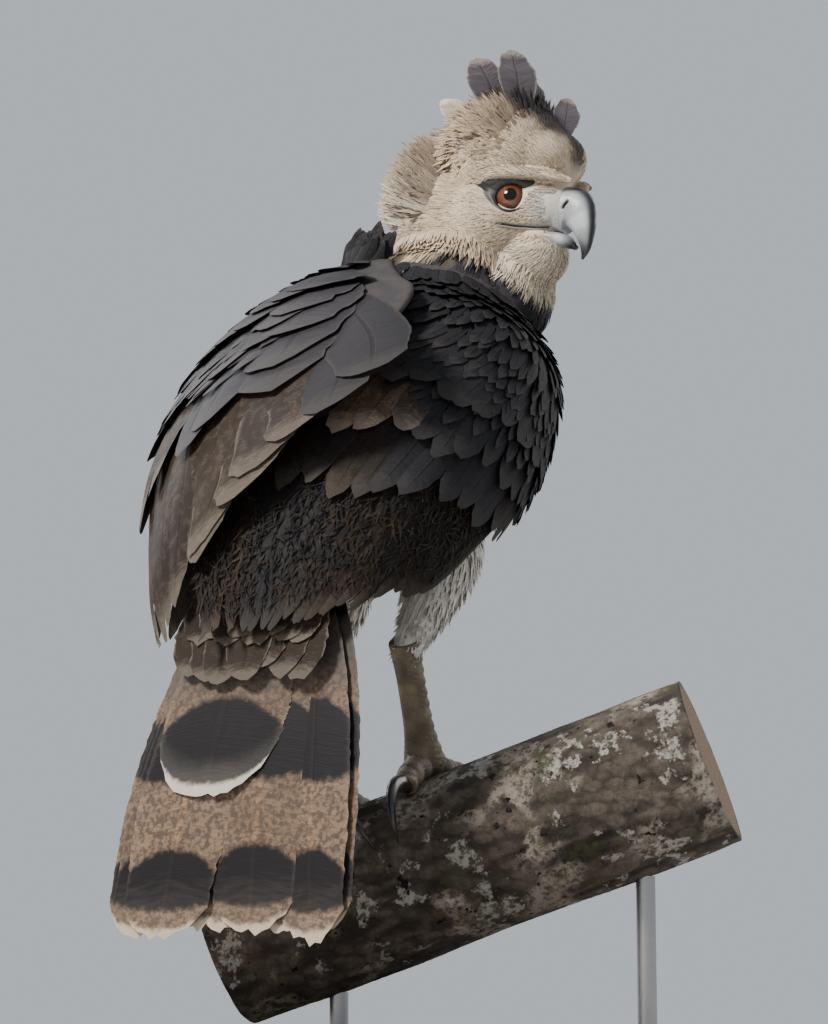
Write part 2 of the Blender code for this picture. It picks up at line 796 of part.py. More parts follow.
def sleeve(side, u, angle, height):
    """A point on a wing's sleeve: u along, angle in degrees from the spine to that side."""
    table = np.array(SLEEVE, float)
    pick = 3 if side == "right" else 4
    keys = table[:, (0, 1, 2, pick, pick + 2, 7)]
    steps = np.linspace(0, 1, 41)
    rows = spline(keys, steps)
    _, across, front = along(rows[:, :3], X_AXIS)
    u = np.clip(np.asarray(u, float), -0.02, 1.04)
    frame = np.hstack((rows, across, -front))
    at = np.stack([np.interp(u, steps, column) for column in frame.T], -1)
    a = np.radians(angle) * SIDES[side]
    s, c = rounded(a, SLEEVE_POWER)
    wide, deep = at[..., 3], np.where(c > 0, at[..., 4], at[..., 5])
    beyond = np.maximum(u - 1, 0)[..., None] * SLEEVE_LENGTH * unit(rows[-1, :3] - rows[-2, :3])
    across, back = at[..., 6:9], at[..., 9:12]
    ring = (wide * s)[..., None] * across + (deep * c)[..., None] * back
    out = unit((s / wide)[..., None] * across + (c / deep)[..., None] * back)
    return at[..., :3] + beyond + ring + out * np.asarray(height)[..., None]


def wing_edges(side, u):
    rows = spline(WING_EDGES[side], np.clip(u, 0, 1))
    return rows[..., 0], rows[..., 1]


def wing_lift(side, u, share):
    """How far the wing stands off its sleeve: the left one droops open along its trailing edge."""
    if side == "right":
        return 0.0 * share
    return DROOP * np.exp(-((share / 0.22) ** 2)) * np.sin(np.clip(u, 0, 1) * math.pi) ** 0.7


def on_wing(side, u, share, height):
    """A point over the wing: u from shoulder to tip, share from its trailing to its leading edge."""
    u, share = np.broadcast_arrays(np.asarray(u, float), np.asarray(share, float))
    trailing, leading = wing_edges(side, u)
    angle = trailing + (leading - trailing) * share
    return sleeve(side, u, angle, np.asarray(height) + wing_lift(side, u, share))


def wing_core(side):
    u = np.linspace(0.0, WING_CORE, 7)[:, None]
    share = np.linspace(0.0, 0.94, 10)
    outer = on_wing(side, u, share, 0.0 * share)
    deep = CORE_THICK + CORE_SHOULDER * np.exp(-((u / 0.22) ** 2)) * np.sin(share * math.pi) ** 2
    inner = on_wing(side, u, share, -deep)
    rows, columns = outer.shape[:2]
    points = np.vstack((outer.reshape(-1, 3), inner.reshape(-1, 3)))
    faces = []
    half = rows * columns
    for i in range(rows - 1):
        for j in range(columns - 1):
            a = i * columns + j
            faces.append((a, a + 1, a + columns + 1, a + columns))
            faces.append((half + a, half + a + columns, half + a + columns + 1, half + a + 1))
    rim = [(0, j) for j in range(columns)]
    rim += [(i, columns - 1) for i in range(1, rows)]
    rim += [(rows - 1, j) for j in range(columns - 2, -1, -1)]
    rim += [(i, 0) for i in range(rows - 2, 0, -1)]
    loop = [i * columns + j for i, j in rim]
    for a, b in zip(loop, loop[1:] + loop[:1]):
        faces.append((a, half + a, half + b, b))
    return points, faces


def wing_vane(side, share, root, tip, half_width, height, stack):
    """One vane of a wing, from u = root to u = tip. stack gives its extra height at u."""
    long = SLEEVE_LENGTH * abs(tip - root) > 130
    keys = (0, 0.3, 0.55, 0.8, 1.0) if long else (0, 0.42, 0.8, 1.0)

    def place(t, w, h):
        u = root + (tip - root) * t
        here = on_wing(side, u, share, 0.0)
        near = on_wing(side, u, share + 0.02, 0.0)
        scale = 0.02 / np.linalg.norm(near - here)
        return on_wing(side, u, share + w * scale, h)

    def rise(t):
        return -4.0 + (height + 4.0) * min(t / 0.5, 1.0) + stack(root + (tip - root) * t)

    return feather(place, keys, half_width, rise, tilt=1.3)


def wing_vanes(side):
    for count, trailing, leading, span, half_width, height, stack in TIERS:
        begin, end = trailing[0] + 0.06, trailing[1]
        for k in range(count):

            def over(u, most=stack * (count - 1 - k), begin=begin, end=end):
                return most * min(max((u - begin) / (end - begin), 0.0), 1.0)

            share = k / (count - 1)
            root = trailing[0] + (leading[0] - trailing[0]) * share
            tip = trailing[1] + (leading[1] - trailing[1]) * share**2.0
            place = span[0] + (span[1] - span[0]) * share
            yield wing_vane(side, place, root, tip, half_width, height, over)


def make_wing(side, torso, neck, bare_head):
    wing = fuse([wing_core(side), *wing_vanes(side)])
    clear_of(wing, torso, neck, bare_head)
    return combine(wing, [swollen(neck, 3 * GAP)], "DIFFERENCE")


# The tail


def tail_place(root, tip, top, start=0.0, stop=1.0):
    """A rule for points on a tail feather, and its rise in the stack."""

    def place(t, w, h):
        s = start + (stop - start) * t
        row = spline(TAIL_LINE, s)
        ahead = unit(spline(TAIL_LINE, min(s + 0.01, 1.0)) - spline(TAIL_LINE, max(s - 0.01, 0.0)))
        out = np.cross(X_AXIS, ahead) * -1
        out = unit(out if out[1] > 0 else -out)
        middle = root + (tip - root) * s**0.65
        camber = TAIL_CAMBER * (w / 50) ** 2
        return row + X_AXIS * (middle + w) + out * (top + h - camber)

    return place


def tail_vanes():
    for tip, root, top, stop, half_width in TAIL_FEATHERS:
        place = tail_place(root, tip, top, TAIL_STARTS, stop)
        yield feather(place, (0, 0.3, 0.6, 0.86, 0.95, 1.0), half_width, lambda t: 0.0)
    for root, tip, top, stop in TAIL_COVERTS:
        place = tail_place(root, tip, top, 0.0, stop)
        yield feather(place, (0, 0.45, 0.8, 1.0), COVERT_HALF_WIDTH, lambda t: 0.0)


def make_tail(torso):
    middle = spline(TAIL_LINE, 0.08)
    core = ball(middle + (0, 4, 0), TAIL_CORE, rings=7, around=14)
    tail = fuse([core, *tail_vanes()])
    return clear_of(tail, torso)


# The stand


def make_base():
    half_x, half_y = BASE_LENGTH / 2, BASE_WIDTH / 2
    bevel = 2.5
    rings = []
    for z, inset in ((0, bevel), (bevel, 0), (BASE_THICK - bevel, 0), (BASE_THICK, bevel)):
        ring = []
        for corner in range(4):
            sx, sy = ((1, 1), (-1, 1), (-1, -1), (1, -1))[corner]
            for k in range(5):
                turn = math.pi / 2 * (corner + k / 4)
                radius = BASE_CORNER - inset
                cx, cy = sx * (half_x - BASE_CORNER), sy * (half_y - BASE_CORNER)
                ring.append((cx + radius * math.cos(turn), cy + radius * math.sin(turn), z))
        rings.append(ring)
    return piece(capped(np.array(rings) - GRIP))


def make_rod(s, branch):
    """An upright rod from the base's top, cut to the branch's underside."""
    foot = on_branch(s, math.pi)
    grip_height = GRIP[2]
    low = BASE_THICK + GAP - grip_height
    high = foot[2] + 30
    keys = [(foot[0], foot[1], low, ROD_RADIUS, ROD_RADIUS, ROD_RADIUS)]
    keys += [(foot[0], foot[1], high, ROD_RADIUS, ROD_RADIUS, ROD_RADIUS)]
    return clear_of(piece(loft(keys, 3, 20)), branch)


# The whole model


def main():
    for old in list(bpy.data.objects):
        bpy.data.objects.remove(old)
    root = bpy.data.objects.new("eagle", None)
    bpy.context.scene.collection.objects.link(root)

    slate = material("slate_feathers", (0.045, 0.043, 0.044), 0.75)
    pale = material("pale_feathers", (0.42, 0.37, 0.31), 0.8)
    white = material("white_feathers", (0.72, 0.7, 0.66), 0.8)
    brown = material("banded_feathers", (0.14, 0.11, 0.09), 0.75)
    skin = material("yellow_skin", (0.42, 0.33, 0.17), 0.5)
    horn = material("black_horn", (0.02, 0.02, 0.022), 0.25)
    bill_horn = material("grey_horn", (0.3, 0.32, 0.33), 0.3)
    iris = material("brown_eye", (0.16, 0.06, 0.03), 0.05)
    bark = material("bark", (0.17, 0.13, 0.1), 0.9)
    dark_wood = material("base_wood", (0.05, 0.035, 0.025), 0.4)
    steel = material("rod_steel", (0.35, 0.35, 0.36), 0.35, 1.0)

    branch = make_branch()
    torso, neck = make_trunk()
    eyes = [make_eye(sign) for sign in (1, -1)]
    bill = make_bill()
    head = make_head(eyes, bill)
    bare_head = make_bare_head()
    clear_of(neck, bare_head)
    clear_of(torso, bare_head)
    wings = {side: make_wing(side, torso, neck, bare_head) for side in SIDES}
    bpy.data.objects.remove(bare_head)
    tail = make_tail(torso)
    nodes = {}
    for side in SIDES:
        thigh = clear_of(make_thigh(side), torso)
        shank = clear_of(make_shank(side), thigh)
        foot = clear_of(make_foot(side), shank, branch)
        nodes[f"thigh_{side}"] = (thigh, ankle(side), white)
        nodes[f"tarsus_{side}"] = (shank, ankle(side), skin)
        nodes[f"foot_{side}"] = (foot, foot_place(side)[1], skin)
        for toe in TOES:
            claw = clear_of(make_claw(side, toe), foot, branch)
            nodes[f"claw_{side}_{toe}"] = (claw, toe_line(side, toe, np.ones(1))[0][0], horn)
    nodes["torso"] = (torso, TRUNK[2][:3], slate)
    nodes["neck"] = (neck, TRUNK[4][:3], slate)
    nodes["head"] = (head, EYES, pale)
    nodes["bill_upper"] = (bill[0], from_head((50, 0, -14)), bill_horn)
    nodes["bill_lower"] = (bill[1], from_head((40, 0, -39)), bill_horn)
    for side, eye in zip(SIDES, eyes):
        nodes[f"eye_{side}"] = (eye, from_head(EYE_PLACE * (1, SIDES[side], 1)), iris)
        nodes[f"wing_{side}"] = (wings[side], SLEEVE[0][:3], slate)
    nodes["tail"] = (tail, TAIL_LINE[0], brown)
    nodes["perch_branch"] = (branch, (0, 0, -BRANCH_RADIUS), bark)
    nodes["stand_base"] = (make_base(), -GRIP, dark_wood)
    nodes["stand_rod_low"] = (make_rod(ROD_LOW, branch), on_branch(ROD_LOW, math.pi), steel)
    nodes["stand_rod_high"] = (make_rod(ROD_HIGH, branch), on_branch(ROD_HIGH, math.pi), steel)
    for name, (body, place, made_of) in nodes.items():
        finish(body, name, place, made_of, root)


main()
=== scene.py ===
# %% [markdown]
# A harpy eagle on a cut length of branch, life size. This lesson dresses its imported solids: one skin
# goes inside them, and feathers are planted on the skin, row over row, as they lie on the bird.
# Everything is a surface worked out with numpy, and every colour is a rule on places or on feathers.

# %% Set up
import math

import bmesh
import bpy
import numpy as np
from mathutils import Matrix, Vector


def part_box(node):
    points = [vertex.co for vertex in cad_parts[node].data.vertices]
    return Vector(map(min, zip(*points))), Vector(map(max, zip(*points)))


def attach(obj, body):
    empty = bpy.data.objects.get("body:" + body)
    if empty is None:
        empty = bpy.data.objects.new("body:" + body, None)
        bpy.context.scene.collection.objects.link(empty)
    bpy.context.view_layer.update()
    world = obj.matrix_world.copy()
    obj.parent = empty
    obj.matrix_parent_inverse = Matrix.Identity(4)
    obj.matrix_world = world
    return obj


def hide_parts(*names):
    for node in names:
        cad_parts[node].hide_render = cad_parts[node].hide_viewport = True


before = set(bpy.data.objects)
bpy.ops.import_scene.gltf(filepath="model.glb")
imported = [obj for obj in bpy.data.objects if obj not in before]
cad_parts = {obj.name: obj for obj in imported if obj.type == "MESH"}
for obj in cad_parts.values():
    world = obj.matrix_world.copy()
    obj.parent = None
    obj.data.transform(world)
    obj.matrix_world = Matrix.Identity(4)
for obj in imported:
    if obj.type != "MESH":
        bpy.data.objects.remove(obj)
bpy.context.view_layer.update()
dice = np.random.default_rng(7)
GRIP = np.array((50.0, -30.0, 248.0))  # millimetres; all plans below are measured from this point
MM = 0.001
UP = np.array((0.0, 0.0, 1.0))
X_AXIS = np.array((1.0, 0.0, 0.0))
SIDES = {"left": 1.0, "right": -1.0}


def unit(vectors):
    return vectors / np.maximum(length_of(vectors)[..., None], 1e-9)


def length_of(vectors):
    return np.linalg.norm(vectors, axis=-1)


def turns(count):
    """Angles of count equal steps round a circle."""
    return np.linspace(0, 2 * math.pi, count, endpoint=False)


# %% [markdown]
# The camera stands low behind the bird's right shoulder, as the photographer did, at 210 degrees
# round and 10 degrees below level. The frame is upright, so the lens is set by its height.

# %% Camera
scene = bpy.context.scene
right = np.array((-0.866, -0.5, 0.0))
up = np.array((-0.0868, 0.1503, 0.9848))
ahead = np.array((0.4924, -0.8529, 0.1736))
MIDDLE, DISTANCE = (GRIP + (-47.2, 26.6, 264.8)) * MM, 2.7
lens = bpy.data.cameras.new("camera")
lens.sensor_fit = "VERTICAL"
lens.sensor_height = 36
lens.lens = 99.9
lens.clip_start = 0.05
camera = bpy.data.objects.new("camera", lens)
scene.collection.objects.link(camera)
turn = np.eye(4)
turn[:3, 0], turn[:3, 1], turn[:3, 2] = right, up, -ahead
turn[:3, 3] = MIDDLE - DISTANCE * ahead
camera.matrix_world = Matrix(turn.tolist())
scene.camera = camera
print("camera at", np.round(turn[:3, 3], 2), "m")

# %% [markdown]
# The bird is dark and its face is pale, so it is lit by large soft lamps from the front left and
# the back, with a weak one from the right. The floor sweeps up behind it without an edge.

# %% Floor and lights
floor_mesh = bpy.data.meshes.new("floor")
floor_mesh.from_pydata([(-6, -6, 0), (6, -6, 0), (6, 6, 0), (-6, 6, 0)], [], [(0, 1, 2, 3)])
floor = bpy.data.objects.new("floor", floor_mesh)
scene.collection.objects.link(floor)
plain = bpy.data.materials.new("pale_floor")
plain.use_nodes = True
plain_inputs = plain.node_tree.nodes["Principled BSDF"].inputs
plain_inputs["Base Color"].default_value = (0.62, 0.61, 0.6, 1)
plain_inputs["Roughness"].default_value = 0.9
floor_mesh.materials.append(plain)
world = bpy.data.worlds.new("studio")
world.use_nodes = True
sky = world.node_tree.nodes["Background"].inputs
sky["Color"].default_value = (0.84, 0.89, 0.95, 1)
sky["Strength"].default_value = 0.62
scene.world = world


def lamp(name, place, size, power, tint):
    """A square lamp that shines on the bird's heart from place, measured from there."""
    data = bpy.data.lights.new(name, "AREA")
    data.size = size
    data.energy = power
    data.color = tint
    made = bpy.data.objects.new(name, data)
    scene.collection.objects.link(made)
    ahead = unit(-np.array(place))
    across = unit(np.cross(ahead, UP))
    pose = np.eye(4)
    pose[:3, 0], pose[:3, 1], pose[:3, 2] = across, np.cross(across, ahead), -ahead
    pose[:3, 3] = HEART + place
    made.matrix_world = Matrix(pose.tolist())


HEART = np.array((0.0, 0.0, 0.6))
lamp("key", (0.7, 2.0, 1.5), 0.5, 140, (1.0, 0.95, 0.87))
lamp("rim", (1.9, -0.3, 1.1), 1.0, 40, (0.97, 0.98, 1.0))
lamp("front", (-0.9, -1.9, 1.2), 1.4, 26, (1.0, 0.98, 0.95))
print("floor and", len(bpy.data.lights), "lamps ready")

# %% [markdown]
# Curves through a few keys give every form. These are the same rules that the solids were made
# with, so that the feathers land on them.

# %% Curves and surfaces


def spline(keys, t):
    """The smooth curve through the rows of keys: cubics whose slopes come from their neighbours."""
    keys = np.asarray(keys, float)
    last = len(keys) - 1
    x = np.asarray(t, float) * last
    i = np.clip(x.astype(int), 0, last - 1)
    f = (x - i)[..., None]
    ends = np.vstack((2 * keys[0] - keys[1], keys, 2 * keys[-1] - keys[-2]))
    a, b, c, d = (ends[i + k] for k in range(4))
    return b + 0.5 * f * (c - a + f * (2 * a - 5 * b + 4 * c - d + f * (3 * (b - c) + d - a)))


def along(path, hint):
    """Unit vectors along a path, to its side nearest hint, and to its back."""
    tangent = unit(np.gradient(path, axis=0))
    side = unit(hint - (tangent @ hint)[:, None] * tangent)
    return tangent, side, np.cross(tangent, side)


def rounded(angle, power):
    """Sine and cosine on a superellipse: squarer as power grows."""
    s, c = np.sin(angle), np.cos(angle)
    return np.sign(s) * abs(s) ** (2 / power), np.sign(c) * abs(c) ** (2 / power)


def loft_grid(keys, rings, around, hint=X_AXIS, power=2.0, ease=1.0):
    """Rings round the curve of keys: x, y, z, half width, half depth to the back and the front.

    A point is path + side * width * sin + rear * depth * cos. Below 1, ease sets the last rings closer.
    """
    rows = spline(keys, np.linspace(0, 1, rings) ** ease)
    path = rows[:, :3]
    wide, behind, front = rows[:, 3:].T
    _, side, rear = along(path, hint)
    s, c = rounded(turns(around), power)
    deep = np.where(c > 0, behind[:, None], front[:, None]) * c
    return ring_points(path, side, rear, wide[:, None] * s, deep)


def ring_points(path, side, rear, sideways, deep):
    return path[:, None] + sideways[..., None] * side[:, None] + deep[..., None] * rear[:, None]


def grid_faces(rows, columns, wrap=True):
    """Quads of a grid of points, closed round its columns if wrap is true."""
    i, j = np.meshgrid(np.arange(rows - 1), np.arange(columns if wrap else columns - 1), indexing="ij")
    n = (j + 1) % columns
    a, b, c, d = i * columns + j, i * columns + n, (i + 1) * columns + n, (i + 1) * columns + j
    return np.stack((a, b, c, d), -1).reshape(-1, 4)


def capped(grid):
    """Points of rings, and faces: quads between rings, then a fan to the middle of each end ring."""
    rings, around = grid.shape[:2]
    k = np.arange(around)
    n = (k + 1) % around
    end, last = (rings - 1) * around, rings * around + 1
    fans = np.array(((last - 1 + 0 * k, n, k), (last + 0 * k, end + k, end + n)))
    fans = np.moveaxis(fans, 1, 2).reshape(-1, 3)
    points = np.vstack((grid.reshape(-1, 3), grid[0].mean(0), grid[-1].mean(0)))
    return points, (grid_faces(rings, around), fans)


print("curves and lofts ready")

# %% [markdown]
# Clouds of colour and ragged edges need noise that comes out the same each run, for points as well
# as for finishes. It is worked out here from the whole numbers of a lattice.

# %% Noise and soft steps


def hash_noise(points, scale, seed=0):
    """Smooth noise from 0 to 1: random corners of a lattice of cells, blended across each cell."""
    p = np.asarray(points, float) * scale + 1000.0 + 17.3 * seed
    cell = np.floor(p).astype(np.int64)
    f = p - cell
    f = f * f * (3 - 2 * f)
    total = 0.0
    for corner in range(8):
        step = np.array((corner & 1, corner >> 1 & 1, corner >> 2 & 1))
        c = cell + step
        h = (c[..., 0] * 73856093) ^ (c[..., 1] * 19349663) ^ (c[..., 2] * 83492791)
        value = ((h * 2654435761) % 4294967296) / 4294967296
        total = total + value * np.prod(np.where(step, f, 1 - f), axis=-1)
    return total


def smooth(low, high, x):
    """0 below low, 1 above high, with a soft S between."""
    t = np.clip((x - low) / (high - low), 0, 1)
    return t * t * (3 - 2 * t)


print("noise ready; its mean is", hash_noise(np.arange(3000.0).reshape(-1, 3), 0.3).mean().round(2))

# %% [markdown]
# A mesh comes from whole arrays: its points in millimetres, then its faces. Values that a material
# reads, such as a feather's own colour, go into the mesh as attributes, one row for each point.

# %% Meshes from arrays


def mesh_from(name, points, *face_sets):
    """A mesh from points in millimetres from GRIP and from arrays of faces, each of one size."""
    mesh = bpy.data.meshes.new(name)
    spots = ((np.asarray(points) + GRIP) * MM).astype(np.float32)
    mesh.vertices.add(len(spots))
    mesh.vertices.foreach_set("co", spots.ravel())
    corners = np.concatenate([np.asarray(faces).ravel() for faces in face_sets]).astype(np.int32)
    sizes = np.concatenate([np.full(len(faces), np.shape(faces)[1]) for faces in face_sets])
    mesh.loops.add(len(corners))
    mesh.loops.foreach_set("vertex_index", corners)
    mesh.polygons.add(len(sizes))
    starts = np.concatenate(([0], np.cumsum(sizes)[:-1])).astype(np.int32)
    mesh.polygons.foreach_set("loop_start", starts)
    mesh.update(calc_edges=True)
    return mesh


def add_values(mesh, **values):
    """Stores a row for each point under each name that a material reads: tint is a colour."""
    for name, rows in values.items():
        rows = np.asarray(rows, np.float32)
        kind, key = "FLOAT_VECTOR", "vector"
        if name == "tint":
            rows = np.column_stack((rows, np.ones(len(rows), np.float32)))
            kind, key = "FLOAT_COLOR", "color"
        mesh.attributes.new(name, kind, "POINT").data.foreach_set(key, rows.ravel())


def add_piece(name, mesh, finish, slot, *nodes, sharp=None):
    """Shows a mesh as a piece of the model: its finish, and the solids it stands for. slot is not used.
    """
    made = bpy.data.objects.new(name, mesh)
    scene.collection.objects.link(made)
    mesh.materials.append(finish)
    mesh.shade_smooth()
    if sharp:
        mesh.set_sharp_from_angle(angle=math.radians(sharp))
    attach(made, "root")
    if nodes:
        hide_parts(*nodes)
    triangles = sum(len(p.vertices) - 2 for p in mesh.polygons)
    print(f"{name}: {triangles} triangles")


def closed_piece(name, shape, finish, slot, *nodes, sharp=None, **values):
    """Shows a closed shape, given as points and faces, with values for its points."""
    points, faces = shape
    mesh = mesh_from(name, points, *faces)
    add_values(mesh, **values)
    add_piece(name, mesh, finish, slot, *nodes, sharp=sharp)


print("mesh helpers ready")

# %% [markdown]
# Skin has no joints between its parts. It could be sculpted; here closed shapes that overlap are
# fused in small cells and calmed, which gives one closed mesh from the plans alone.

# %% Fused meshes


def fused(name, shapes, cell):
    """One closed mesh round several closed shapes that overlap, as a sculptor's remesh gives."""
    whole = bmesh.new()
    for points, face_sets in shapes:
        spots = [whole.verts.new(p) for p in (points + GRIP) * MM]
        for face in sum((faces.tolist() for faces in face_sets), []):
            whole.faces.new([spots[k] for k in face])
    bmesh.ops.recalc_face_normals(whole, faces=whole.faces)
    mesh = bpy.data.meshes.new(name)
    whole.to_mesh(mesh)
    whole.free()
    maker = bpy.data.objects.new(name, mesh)
    scene.collection.objects.link(maker)
    remesh = maker.modifiers.new("remesh", "REMESH")
    remesh.mode = "VOXEL"
    remesh.voxel_size = cell * MM
    calm = maker.modifiers.new("calm", "SMOOTH")
    calm.iterations = 2
    graph = bpy.context.evaluated_depsgraph_get()
    made = bpy.data.meshes.new_from_object(maker.evaluated_get(graph), depsgraph=graph)
    bpy.data.objects.remove(maker)
    made.name = name
    return made


def points_of(mesh):
    """The points of a mesh in millimetres from GRIP."""
    spots = np.empty(len(mesh.vertices) * 3, np.float32)
    mesh.vertices.foreach_get("co", spots)
    return spots.reshape(-1, 3).astype(float) / MM - GRIP


def join_meshes(name, meshes):
    """One mesh of several."""
    whole = bmesh.new()
    for mesh in meshes:
        whole.from_mesh(mesh)
    made = bpy.data.meshes.new(name)
    whole.to_mesh(made)
    whole.free()
    return made


print("fusing ready")

# %% [markdown]
# A finish is a tree of nodes, but its maths reads better as a formula. A Wire wraps a socket, and
# each sum or product of wires adds the Math node that works it out.

# %% Shader maths


class Wire:
    """A socket of a finish. Sums and products of wires add Math nodes."""

    def __init__(self, finish, socket):
        self.finish = finish
        self.socket = socket

    def math(self, operation, *others):
        inputs = dict(enumerate((self, *others)))
        return self.finish.node("ShaderNodeMath", {"operation": operation}, inputs)

    def __add__(self, other):
        return self.math("ADD", other)

    def __sub__(self, other):
        return self.math("SUBTRACT", other)

    def __mul__(self, other):
        return self.math("MULTIPLY", other)

    def __rsub__(self, other):
        return self.finish.node("ShaderNodeMath", {"operation": "SUBTRACT"}, {0: other, 1: self})

    def size(self):
        return self.math("ABSOLUTE")

    def between(self, low, high):
        """0 below low, 1 above high, with a soft S between. low may be the larger."""
        flip = low > high
        settings = {"interpolation_type": "SMOOTHSTEP"}
        inputs = {0: self, 1: min(low, high), 2: max(low, high), 3: float(flip), 4: float(not flip)}
        return self.finish.node("ShaderNodeMapRange", settings, inputs)

    def part(self, axis):
        return self.finish.node("ShaderNodeSeparateXYZ", {}, {0: self}, axis)


print("wires ready")

# %% [markdown]
# A Finish is one material in the making. Each method adds what could be placed by hand: a stored
# value, a place, noise, cells, a blend of colours, or relief.

# %% Finishes


class Finish:
    """A material in the making. node() adds any node: its kind, its settings, then its inputs."""

    def __init__(self, name, **constants):
        self.material = bpy.data.materials.new(name)
        self.material.use_nodes = True
        self.tree = self.material.node_tree
        self.shader = self.tree.nodes["Principled BSDF"]
        self.give(**constants)

    def node(self, kind, settings, inputs, output=0):
        made = self.tree.nodes.new(kind)
        for key, value in settings.items():
            setattr(made, key, value)
        for key, value in inputs.items():
            self.plug(made.inputs[key], value)
        return Wire(self, made.outputs[output])

    def plug(self, socket, value):
        if isinstance(value, Wire):
            self.tree.links.new(value.socket, socket)
        elif isinstance(value, tuple) and len(value) == 3 and len(socket.default_value) == 4:
            socket.default_value = (*value, 1.0)
        else:
            socket.default_value = value

    def give(self, **values):
        """Sets the shader's own sockets: Base_Color is written for Base Color."""
        for key, value in values.items():
            self.plug(self.shader.inputs[key.replace("_", " ")], value)

    def stored(self, name, output=1):
        return self.node("ShaderNodeAttribute", {"attribute_name": name}, {}, output)

    def place(self):
        return self.node("ShaderNodeTexCoord", {}, {}, 3)

    def point(self, x, y, z):
        return self.node("ShaderNodeCombineXYZ", {}, {0: x, 1: y, 2: z})

    def stretched(self, vector, by):
        return self.node("ShaderNodeVectorMath", {"operation": "MULTIPLY"}, {0: vector, 1: by})

    def noise(self, vector, scale, detail=3.0, roughness=0.55):
        inputs = {"Vector": vector, "Scale": scale, "Detail": detail, "Roughness": roughness}
        return self.node("ShaderNodeTexNoise", {}, inputs)

    def cells(self, vector, scale):
        return self.node("ShaderNodeTexVoronoi", {}, {"Vector": vector, "Scale": scale})

    def mixed(self, share, first, second, how="MIX"):
        """Colours first and second in the proportion share."""
        settings = {"data_type": "RGBA", "blend_type": how}
        return self.node("ShaderNodeMix", settings, {0: share, 6: first, 7: second}, 2)

    def times(self, first, second):
        return self.mixed(1.0, first, second, "MULTIPLY")

    def shaded(self, colour, by):
        return self.times(colour, self.point(by, by, by))

    def relief(self, height, depth):
        """Bumps of the given depth in metres, from a height of 0 to 1."""
        self.give(Normal=self.node("ShaderNodeBump", {}, {"Height": height, "Distance": depth}))


print("finishes ready")

# %% [markdown]
# A feather is one small vane: a shaft, barbs that sweep from it towards the tip, and an edge that
# wears pale. The finish reads three values from the vane: how far across, how far along, and how
# long it is, so that barbs keep their true size on every feather.

# %% Finish of feathers


def feather_finish(name, shaft, rough, barb_depth=0.0005, bands=None):
    """Each feather's own tint, streaked along its barbs, flecked and fringed as its marks say.

    A barb is named by how far along it starts: along - 7 mm times across.
    """
    f = Finish(name, Specular_IOR_Level=0.12)
    vane = f.stored("vane")
    across, share, length = vane.part(0), vane.part(1), vane.part(2)
    marks = f.stored("marks")
    fleck, fringe, chance = marks.part(0), marks.part(1), marks.part(2)
    place = f.place()
    barb = share * length - across.size() * 0.007
    streak = f.noise(f.point(barb * 520.0, across * 1.2, chance * 90.0), 1.0, 3.0, 0.6)
    fine = f.noise(f.point(barb * 1500.0, across * 2.0, chance * 50.0), 1.0, 2.0, 0.6)
    shade = streak.between(0.25, 0.75) * 0.42 + fine * 0.25 + chance * 0.22 + 0.56
    colour = f.shaded(f.stored("tint", 0), shade)
    if bands:
        colour = bands(f, colour, across, share, length, chance, place)
    waves = (share * length * 1900.0 + f.noise(place, 170.0, 3.0) * 26.0).math("SINE")
    bars = waves.between(0.25, 0.95) * f.noise(place, 110.0, 3.0).between(0.46, 0.62)
    bright = f.mixed(0.22, f.times(colour, (2.2, 2.1, 2.0)), (0.30, 0.25, 0.20))
    colour = f.mixed(bars * fleck, colour, bright)
    wear = f.noise(f.point(barb * 300.0, across * 2.0, chance * 70.0), 1.0, 2.0)
    rim = across.size().math("MAXIMUM", share * 1.04) + (wear - 0.5) * 0.16
    worn = f.mixed(0.35, f.times(colour, (1.9, 1.8, 1.7)), (0.5, 0.44, 0.36))
    colour = f.mixed(rim.between(0.86, 0.99) * fringe, colour, worn)
    line = across.size().between(0.07, 0.03) * share.between(1.0, 0.8)
    colour = f.mixed(line * 0.7, colour, f.times(colour, shaft))
    f.give(Base_Color=colour, Roughness=streak * 0.2 + (rough - 0.1))
    f.relief(streak * 0.6 + fine * 0.4 + line * 0.8, barb_depth)
    return f.material


soft_feather = feather_finish("soft_feather", (0.75, 0.7, 0.65), 0.72)
print("feather finish ready")

# %% [markdown]
# A body form is a surface with two shares: a runs with the lie of the feathers, b goes across.
# The form keeps its points and normals, so a whole coat is read from it in one step.

# %% Forms that carry feathers


